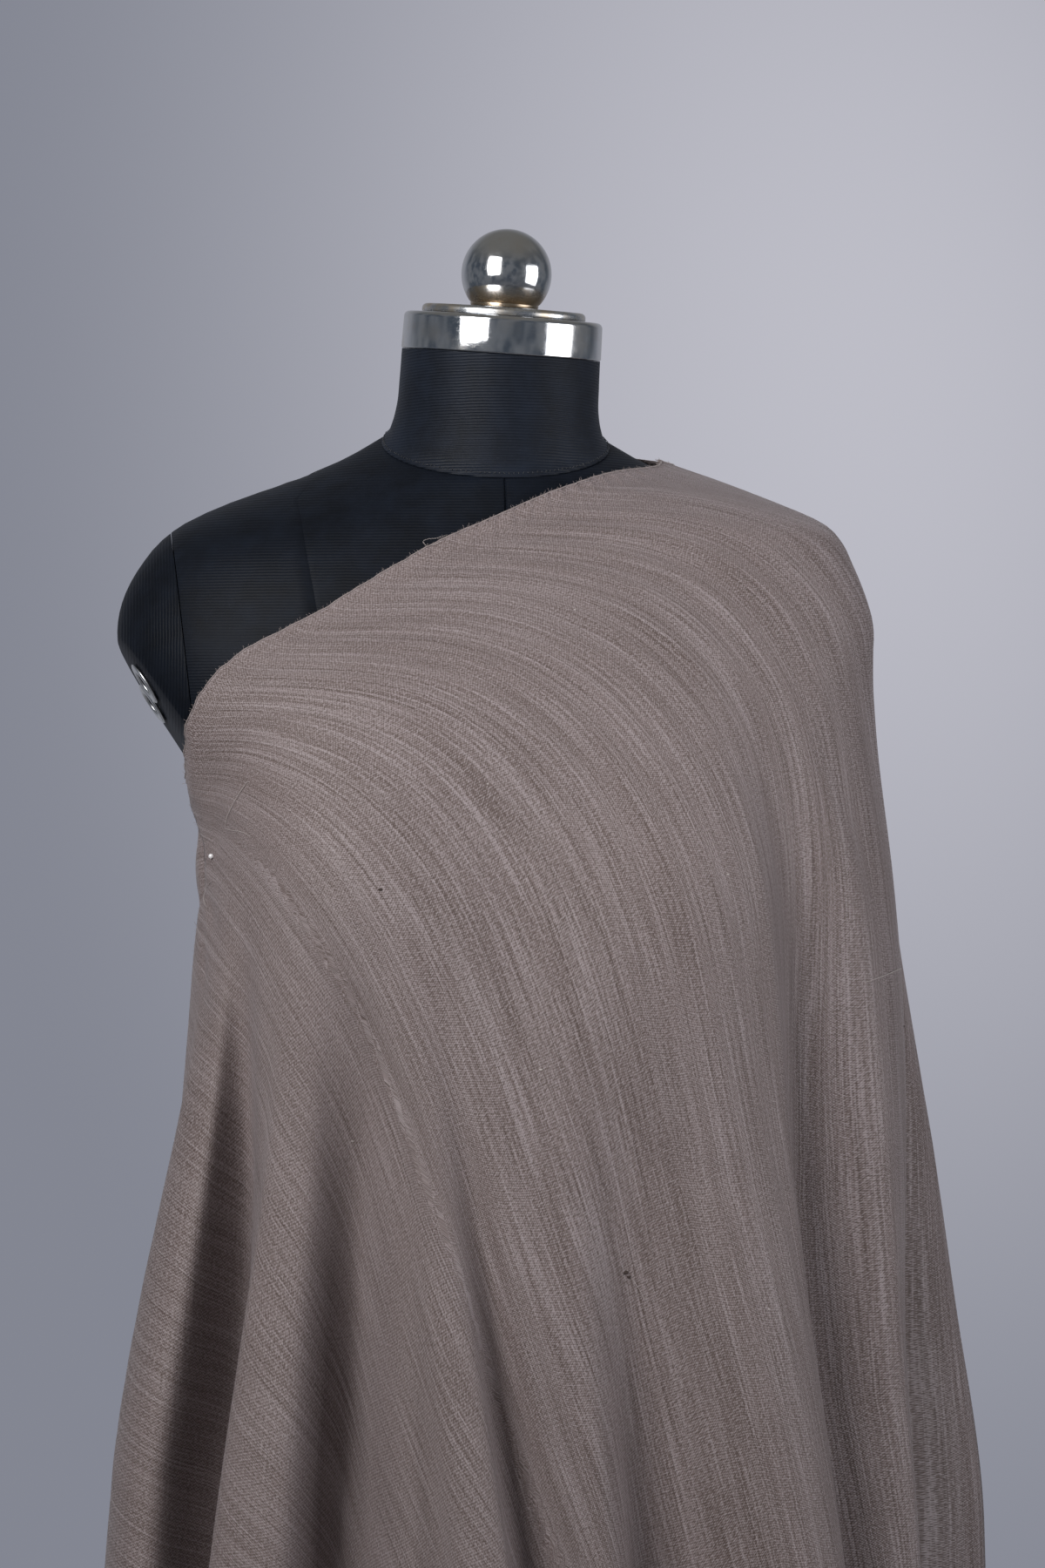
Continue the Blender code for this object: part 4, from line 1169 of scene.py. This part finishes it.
def tubeMesh(name, path, radius, taper=0.3):
    path = np.array(path, dtype=float)
    run = np.concatenate([[0.0], np.cumsum(np.linalg.norm(np.diff(path, axis=0), axis=1))])
    dense = np.linspace(0.0, run[-1], min(max(6, int(run[-1] / (radius * 4))), 400))
    rows = {"at": run, "x": path[:, 0], "y": path[:, 1], "z": path[:, 2]}
    line = np.stack([smooth(rows, "at", axis, dense) for axis in "xyz"], axis=-1)
    along = np.gradient(line, axis=0)
    along /= np.linalg.norm(along, axis=1)[:, None]
    side = np.cross(along, [0.31, 0.22, 0.93])  # any direction that no path here follows
    side /= np.linalg.norm(side, axis=1)[:, None]
    up = np.cross(along, side)
    share = np.linspace(0.0, 1.0, len(line))
    size = radius * (1 - (1 - taper) * np.abs(2 * share - 1) ** 6)
    turns = np.linspace(0, 2 * math.pi, 6, endpoint=False)
    ring = np.cos(turns)[None, :, None] * side[:, None] + np.sin(turns)[None, :, None] * up[:, None]
    return gridMesh(name, line[:, None] + ring * size[:, None, None], True)


def nubMesh(name, place, normal, size, flatness, seed):
    made = bmesh.new()
    bmesh.ops.create_icosphere(made, subdivisions=3, radius=1.0)
    turnTo = normal.to_track_quat("Z", "Y").to_matrix()
    for vertex in made.verts:
        rough = noiseAt(vertex.co * 1.7 + Vector((seed, 0.0, 0.0))) * 0.55
        x, y, z = vertex.co * (1 + rough)
        vertex.co = place + turnTo @ Vector((x * size, y * size * 0.62, z * size * flatness))
    mesh = meshFrom(name, made)
    mesh.shade_smooth()
    return mesh


# Plain finishes of small things: name, grain's scale and detail, both tones and both roughnesses.
def makeSmall(name, scale, detail, tones, roughness, **extra):
    finish, tree, shader = newFinish(name)
    grain = noise(tree, objectPlace(tree), scale, detail, 0.6)
    dress(tree, shader, {
        "Base Color": blend(tree, grain, *tones),
        "Roughness": between(tree, grain, 0.3, 0.7, *roughness),
    })
    dress(tree, shader, {key.title() + " Weight": value for key, value in extra.items()})
    return finish


def makeThread(name, *tones):
    return makeSmall(name, 900.0, 2.0, tones, (0.55, 0.75), sheen=0.2)


paleThread = makeThread("paleThread", (0.36, 0.31, 0.30), (0.52, 0.47, 0.46))
edgeThread = makeThread("edgeThread", (0.19, 0.150, 0.146), (0.33, 0.280, 0.275))
nubBrown = makeThread("nubBrown", (0.018, 0.010, 0.008), (0.045, 0.022, 0.016))
blackThread = makeThread("blackThread", (0.006, 0.007, 0.010), (0.018, 0.021, 0.030))
pearl = makeSmall("pinPearl", 700.0, 3.0, ((0.78, 0.77, 0.80), (0.90, 0.89, 0.90)), (0.10, 0.22), coat=0.5)

# Stray fibres: radius, then column, row and lift off the cloth in millimetres for each point.
strayFibres = [
    (0.00013, [(514, 614, 0.3), (501, 619, 1.2), (491, 621, 2.0), (486, 624, 2.4), (489, 628, 2.2),
               (498, 626, 1.4), (508, 621, 0.6)]),
    (0.00016, [(286, 896, 0.5), (277, 909, 0.7), (268, 925, 0.8), (262, 938, 0.7), (259, 951, 0.4)]),
    (0.00012, [(259, 951, 0.4), (266, 953, 0.6), (278, 955, 0.5), (290, 961, 0.3)]),
    (0.00016, [(992, 1128, 0.4), (1003, 1124, 1.0), (1016, 1119, 1.3), (1027, 1114, 1.4), (1034, 1112, 1.0)]),
    (0.00012, [(724, 1466, 0.4), (731, 1475, 0.6), (736, 1483, 0.5), (742, 1496, 0.4)]),
    (0.00012, [(243, 1012, 0.3), (238, 1021, 0.9), (236, 1032, 1.1), (239, 1042, 0.5)]),
]
# Nubs in the yarn: column, row, size in millimetres, flatness and whether dark.
yarnNubs = [
    (719, 1461, 1.5, 0.30, True), (722, 1466, 1.3, 0.30, True), (437, 1021, 1.2, 0.30, True),
    (1038, 1178, 0.9, 0.30, True), (621, 1228, 0.9, 0.35, False), (836, 1004, 0.7, 0.30, False),
    (560, 900, 0.6, 0.30, False), (405, 1310, 0.7, 0.30, False), (883, 1503, 0.7, 0.30, False),
    (660, 700, 0.6, 0.30, False),
]


def addOnCloth(name, mesh, finish, slotName="taupe_wool"):
    addPiece(name, mesh, finish, slotName)


for number, (radius, rows) in enumerate(strayFibres):
    path = [onCloth(column, row, lift / 1000)[0] for column, row, lift in rows]
    addOnCloth(f"strayFibre{number + 1}", tubeMesh("strayFibre", path, radius), paleThread)
for number, (column, row, size, flatness, dark) in enumerate(yarnNubs):
    place, normal = onCloth(column, row, 0.0001)
    mesh = nubMesh("yarnNub", place, normal, size / 1000, flatness, number * 3.1)
    addOnCloth(f"yarnNub{number + 1}", mesh, nubBrown if dark else paleThread)

# The selvedge's own doubled thread along the chest and back.
selvedgeRadius = 0.00042
addOnCloth("selvedgeThread", tubeMesh("selvedgeThread", stolePoints[0], selvedgeRadius, 1.0), edgeThread)

# The pin at the side: a pearl head on a steel shaft, run in along the lap of both ends.
pin = {
    "headRadius": 0.0014,
    "shaftRadius": 0.00038,
    "length": 0.026,
    "column": 244.5,
    "row": 983.0,
    "lift": 0.0011,
    "outward": (-0.10, -1.0, 0.22),
    "offCloth": 0.30,
}
pinPlace, pinNormal = onCloth(pin["column"], pin["row"], pin["lift"])
pinAxis = (Vector(pin["outward"]) + pinNormal * pin["offCloth"]).normalized()
pinFrame = frameAt(pinPlace, pinAxis)
r, t, point = pin["headRadius"], pin["shaftRadius"], -pin["headRadius"] - pin["length"]
head = [(0.0, -r)] + arc(0.0, 0.0, r, -80, 80, 18) + [(0.0, r)]
addOnCloth("pinHead", turnedMesh("pinHead", head, pinFrame, 32), pearl, "polished_chrome")
shaft = [(0.0, point), (t * 0.4, point + 0.002), (t, point + 0.006), (t, -r * 0.96), (0.0, -r * 0.96)]
addOnCloth("pinShaft", turnedMesh("pinShaft", shaft, pinFrame, 16), chrome, "polished_chrome")
print("fibres, nubs and pin made", flush=True)


# Small things repeated along a line: fuzz on the cloth's edges and the stitches round the neck.
def linked(tree, kind, links, **settings):
    made = tree.nodes.new(kind)
    for key, value in settings.items():
        setattr(made, key, value)
    for name, value in links.items():
        joined(tree, made.inputs[name], value)
    return made.outputs[0]


def chance(tree, seed, salt, low, high):
    made = tree.nodes.new("FunctionNodeRandomValue")
    asVector = isinstance(low, tuple)
    made.data_type = "FLOAT_VECTOR" if asVector else "FLOAT"
    first = 0 if asVector else 2  # the limits' sockets for this kind of value
    made.inputs[first].default_value, made.inputs[first + 1].default_value = low, high
    tree.links.new(plus(tree, seed, float(salt)), made.inputs["Seed"])
    return made.outputs[0 if asVector else 1]


def fibreUnit(tree, given):
    end = vector(tree, times(tree, given["Length"], 0.45), 0.0, given["Length"])
    middle = vector(tree, 0.0, 0.0, times(tree, given["Length"], 0.55))
    spine = linked(tree, "GeometryNodeCurveQuadraticBezier",
                   {"Resolution": 5, "Start": (0.0, 0.0, -0.0004), "Middle": middle, "End": end})
    ring = linked(tree, "GeometryNodeCurvePrimitiveCircle", {"Resolution": 3, "Radius": given["Thickness"]})
    return linked(tree, "GeometryNodeCurveToMesh", {"Curve": spine, "Profile Curve": ring, "Fill Caps": True})


def stitchUnit(tree, given):
    ball = linked(tree, "GeometryNodeMeshIcoSphere", {"Radius": given["Thickness"], "Subdivisions": 2})
    halfLength = times(tree, calc(tree, "DIVIDE", given["Length"], given["Thickness"]), 0.5)
    return linked(tree, "GeometryNodeTransform",
                  {"Geometry": ball, "Scale": vector(tree, 1.0, 1.0, halfLength)})


def alongLine(name, kind):
    tree = bpy.data.node_groups.new(name, "GeometryNodeTree")
    sockets = {"Line": "Geometry", "Spacing": "Float", "Length": "Float", "Thickness": "Float",
               "Seed": "Int", "Finish": "Material"}
    for socket, valueKind in sockets.items():
        tree.interface.new_socket(socket, in_out="INPUT", socket_type="NodeSocket" + valueKind)
    tree.interface.new_socket("Pieces", in_out="OUTPUT", socket_type="NodeSocketGeometry")
    given = tree.nodes.new("NodeGroupInput").outputs
    seed = given["Seed"]
    curve = linked(tree, "GeometryNodeMeshToCurve", {"Mesh": given["Line"]})
    evenly = linked(tree, "GeometryNodeResampleCurve", {"Curve": curve, "Length": given["Spacing"]},
                    mode="LENGTH")
    outward = linked(tree, "GeometryNodeInputNamedAttribute", {"Name": "outward"}, data_type="FLOAT_VECTOR")
    if kind == "fibre":
        unit, spread = fibreUnit(tree, given), 0.8
        size = calc(tree, "POWER", chance(tree, seed, 2, 0.25, 1.25), 2.0)
    else:
        unit, spread = stitchUnit(tree, given), 0.05
        size = chance(tree, seed, 2, 0.9, 1.1)
    uneven = chance(tree, seed, 1, (-spread,) * 3, (spread,) * 3)
    lean = linked(tree, "ShaderNodeVectorMath", {0: outward, 1: uneven}, operation="ADD")
    turned = linked(tree, "FunctionNodeAlignRotationToVector", {"Vector": lean}, axis="Z")
    spin = vector(tree, 0.0, 0.0, chance(tree, seed, 3, 0.0, 6.28))
    roll = linked(tree, "FunctionNodeEulerToRotation", {"Euler": spin})
    turned = linked(tree, "FunctionNodeRotateRotation", {"Rotation": turned, "Rotate By": roll},
                    rotation_space="LOCAL")
    placedOut = linked(tree, "GeometryNodeInstanceOnPoints",
                       {"Points": evenly, "Instance": unit, "Rotation": turned, "Scale": size})
    real = linked(tree, "GeometryNodeRealizeInstances", {"Geometry": placedOut})
    done = linked(tree, "GeometryNodeSetMaterial", {"Geometry": real, "Material": given["Finish"]})
    tree.links.new(done, tree.nodes.new("NodeGroupOutput").inputs[0])
    return tree


def setAlong(name, tree, line, outward, inputs):
    mesh = bpy.data.meshes.new(name + "Line")
    mesh.from_pydata([tuple(p) for p in line], [(i, i + 1) for i in range(len(line) - 1)], [])
    layer = mesh.attributes.new("outward", "FLOAT_VECTOR", "POINT")
    layer.data.foreach_set("vector", np.asarray(outward, dtype=np.float32).ravel())
    holder = newObject(name + "Line", mesh)
    step = holder.modifiers.new("along", "NODES")
    step.node_group = tree
    for item in tree.interface.items_tree:
        if item.in_out == "INPUT" and item.name in inputs:
            step[item.identifier] = inputs[item.name]
    return plainMesh(name, holder)


def awayFrom(inner, edge):
    return (edge - inner) / np.linalg.norm(edge - inner, axis=-1, keepdims=True)


fuzz = {"length": 0.0015, "thickness": 0.00007, "neckSpacing": 0.00055, "endSpacing": 0.0011, "firstSeed": 3}
fibreNodes = alongLine("edgeFuzz", "fibre")
grid = stolePoints
fuzzLines = {
    "neckFuzz": (grid[0], grid[2], fuzz["neckSpacing"]),
    "hemFuzz": (grid[-1], grid[-2], fuzz["endSpacing"]),
    "frontEndFuzz": (grid[:, 0], grid[:, 1], fuzz["endSpacing"]),
    "backEndFuzz": (grid[:, -1], grid[:, -2], fuzz["endSpacing"]),
}
for number, (name, (line, inner, spacing)) in enumerate(fuzzLines.items()):
    inputs = {"Spacing": spacing, "Length": fuzz["length"], "Thickness": fuzz["thickness"],
              "Seed": fuzz["firstSeed"] + number, "Finish": edgeThread}
    addOnCloth(name, setAlong(name, fibreNodes, line, awayFrom(inner, line), inputs), edgeThread)

# Stitches round the foot of the neck, midway between two of its rows and a little off the knit.
stitchLift = 0.0002
stitches = {"Spacing": 0.0026, "Length": 0.0016, "Thickness": 0.00028, "Seed": 5, "Finish": blackThread}
neckRows = np.array([v.co for v in neckPadding.data.vertices]).reshape(-1, cap["neckSides"], 3)
line = neckRows[3] * 0.5 + neckRows[4] * 0.5
out = line - line.mean(axis=0)
out[:, 2] = 0.0
out /= np.linalg.norm(out, axis=1)[:, None]
line = line + out * stitchLift
line = np.concatenate([line, line[:1]])
stitchNodes = alongLine("neckStitches", "stitch")
mesh = setAlong("neckStitches", stitchNodes, line, np.gradient(line, axis=0), stitches)
addPiece("neckStitches", mesh, blackThread, "black_jersey")
print("fuzz and stitches made", flush=True)

# The pale floor of the studio.
floorLook = {
    "radius": 2.1,
    "depth": 0.002,
    "tones": ((0.52, 0.53, 0.57), (0.56, 0.57, 0.60)),
    "roughness": 0.8,
}
r, low = floorLook["radius"], -floorLook["depth"]
floorMesh = turnedMesh("studioFloor", [(0.0, low), (r, low), (r, 0.0), (0.0, 0.0)], Matrix.Identity(4), 128)
floor = newObject("studioFloor", floorMesh)
floorFinish, floorTree, floorShader = newFinish("paleFloor")
floorTone = noise(floorTree, objectPlace(floorTree), 3.0, 3.0, 0.5)
dress(floorTree, floorShader, {
    "Base Color": blend(floorTree, floorTone, *floorLook["tones"]),
    "Roughness": floorLook["roughness"],
})
floorMesh.materials.append(floorFinish)

# Soft lights: place, height aimed at on the form's axis, width and height, power, colour, spread in
# degrees, and whether polished metal mirrors the lamp.
softLights = {
    "keySoftbox": ((-1.13, -1.52, 2.00), 1.55, (1.15, 1.55), 14.5, (1.0, 0.985, 0.97), 96.0, True),
    "fillSoftbox": ((1.92, -0.90, 1.34), 1.40, (1.30, 1.45), 7.7, (0.98, 0.98, 1.0), 96.0, True),
    "ceilingBounce": ((0.10, -0.55, 3.20), 1.25, (1.9, 1.5), 8.0, (0.97, 0.98, 1.0), 180.0, False),
    "backBounce": ((0.70, 2.30, 1.55), 1.15, (1.7, 1.7), 20.0, (0.96, 0.98, 1.0), 180.0, False),
}
for name, (place, aimHeight, size, power, colour, spread, mirrored) in softLights.items():
    lamp = bpy.data.lights.new(name, "AREA")
    lamp.shape = "RECTANGLE"
    lamp.size, lamp.size_y = size
    lamp.energy, lamp.color, lamp.spread = power, colour, math.radians(spread)
    holder = newObject(name, lamp)
    holder.location = place
    toAim = Vector((0.0, 0.0, aimHeight)) - Vector(place)
    holder.rotation_euler = toAim.to_track_quat("-Z", "Y").to_euler()
    holder.visible_glossy = mirrored

# The backdrop: for the camera a wall with a painted pool of light behind the form and painted shade round it,
# an uneven room for the metal to mirror, and a share of that room as soft light. Places are parts of a
# direction of length 1.
room = {
    "litPatchMiddle": (0.087, 0.109),
    "litPatchReach": (0.195, 0.290),
    "litPatch": (0.510, 0.510, 0.570),
    "wall": (0.228, 0.239, 0.287),
    "wallFar": (0.33, 0.34, 0.39),
    "roomDark": (0.058, 0.070, 0.088),
    "roomPale": (0.150, 0.158, 0.172),
    "softLight": 0.048,
}
# Tones behind the form, above and below it: axis, where one starts and is full, and the tone.
roomTones = [
    ("y", 0.45, 0.92, (0.30, 0.305, 0.335)),
    ("z", 0.25, 0.95, (0.16, 0.155, 0.145)),
    ("z", -0.15, -0.85, (0.10, 0.10, 0.11)),
]


def makeBackdrop():
    world = bpy.data.worlds.new("studioWorld")
    bpy.context.scene.world = world
    world.use_nodes = True
    tree = world.node_tree
    way = tree.nodes.new("ShaderNodeTexCoord").outputs["Generated"]
    x, y, z = parts(tree, way)
    sideways = plus(tree, times(tree, x, math.cos(turn)), times(tree, y, math.sin(turn)))
    squares = []
    for along, middle, reach in zip((sideways, z), room["litPatchMiddle"], room["litPatchReach"]):
        off = calc(tree, "DIVIDE", calc(tree, "SUBTRACT", along, middle), reach)
        squares.append(times(tree, off, off))
    away = calc(tree, "SQRT", plus(tree, *squares))
    # Painted light on the wall: brightest at the middle of the patch, painted shade further out.
    litWallColour = blend(tree, between(tree, away, 0.0, 1.25), room["litPatch"], room["wall"])
    litWallColour = blend(tree, between(tree, away, 1.6, 3.2), litWallColour, room["wallFar"])
    uneven = between(tree, noise(tree, way, 3.5, 2.0, 0.5), 0.38, 0.62)
    roomColour = blend(tree, uneven, room["roomDark"], room["roomPale"])
    for axis, low, high, tone in roomTones:
        roomColour = blend(tree, between(tree, {"y": y, "z": z}[axis], low, high), roomColour, tone)
    rays = tree.nodes.new("ShaderNodeLightPath").outputs
    softLight = blend(tree, room["softLight"], (0.0, 0.0, 0.0), roomColour)
    roomColour = blend(tree, rays["Is Diffuse Ray"], roomColour, softLight)
    seen = blend(tree, rays["Is Camera Ray"], roomColour, litWallColour)
    dress(tree, tree.nodes["Background"], {"Color": seen, "Strength": 1.0})


makeBackdrop()
bpy.context.scene.view_settings.view_transform = "Standard"

cameraData = bpy.data.cameras.new("photoCamera")
camera = newObject("photoCamera", cameraData)
camera.location = eye
camera.rotation_euler = (math.pi / 2, 0.0, turn)
cameraData.sensor_width, cameraData.sensor_fit = 36.0, "AUTO"
cameraData.lens = cameraData.sensor_width * view["distance"] / (view["height"] * view["metresPerPixel"])
bpy.context.scene.camera = camera

print("studio ready", flush=True)
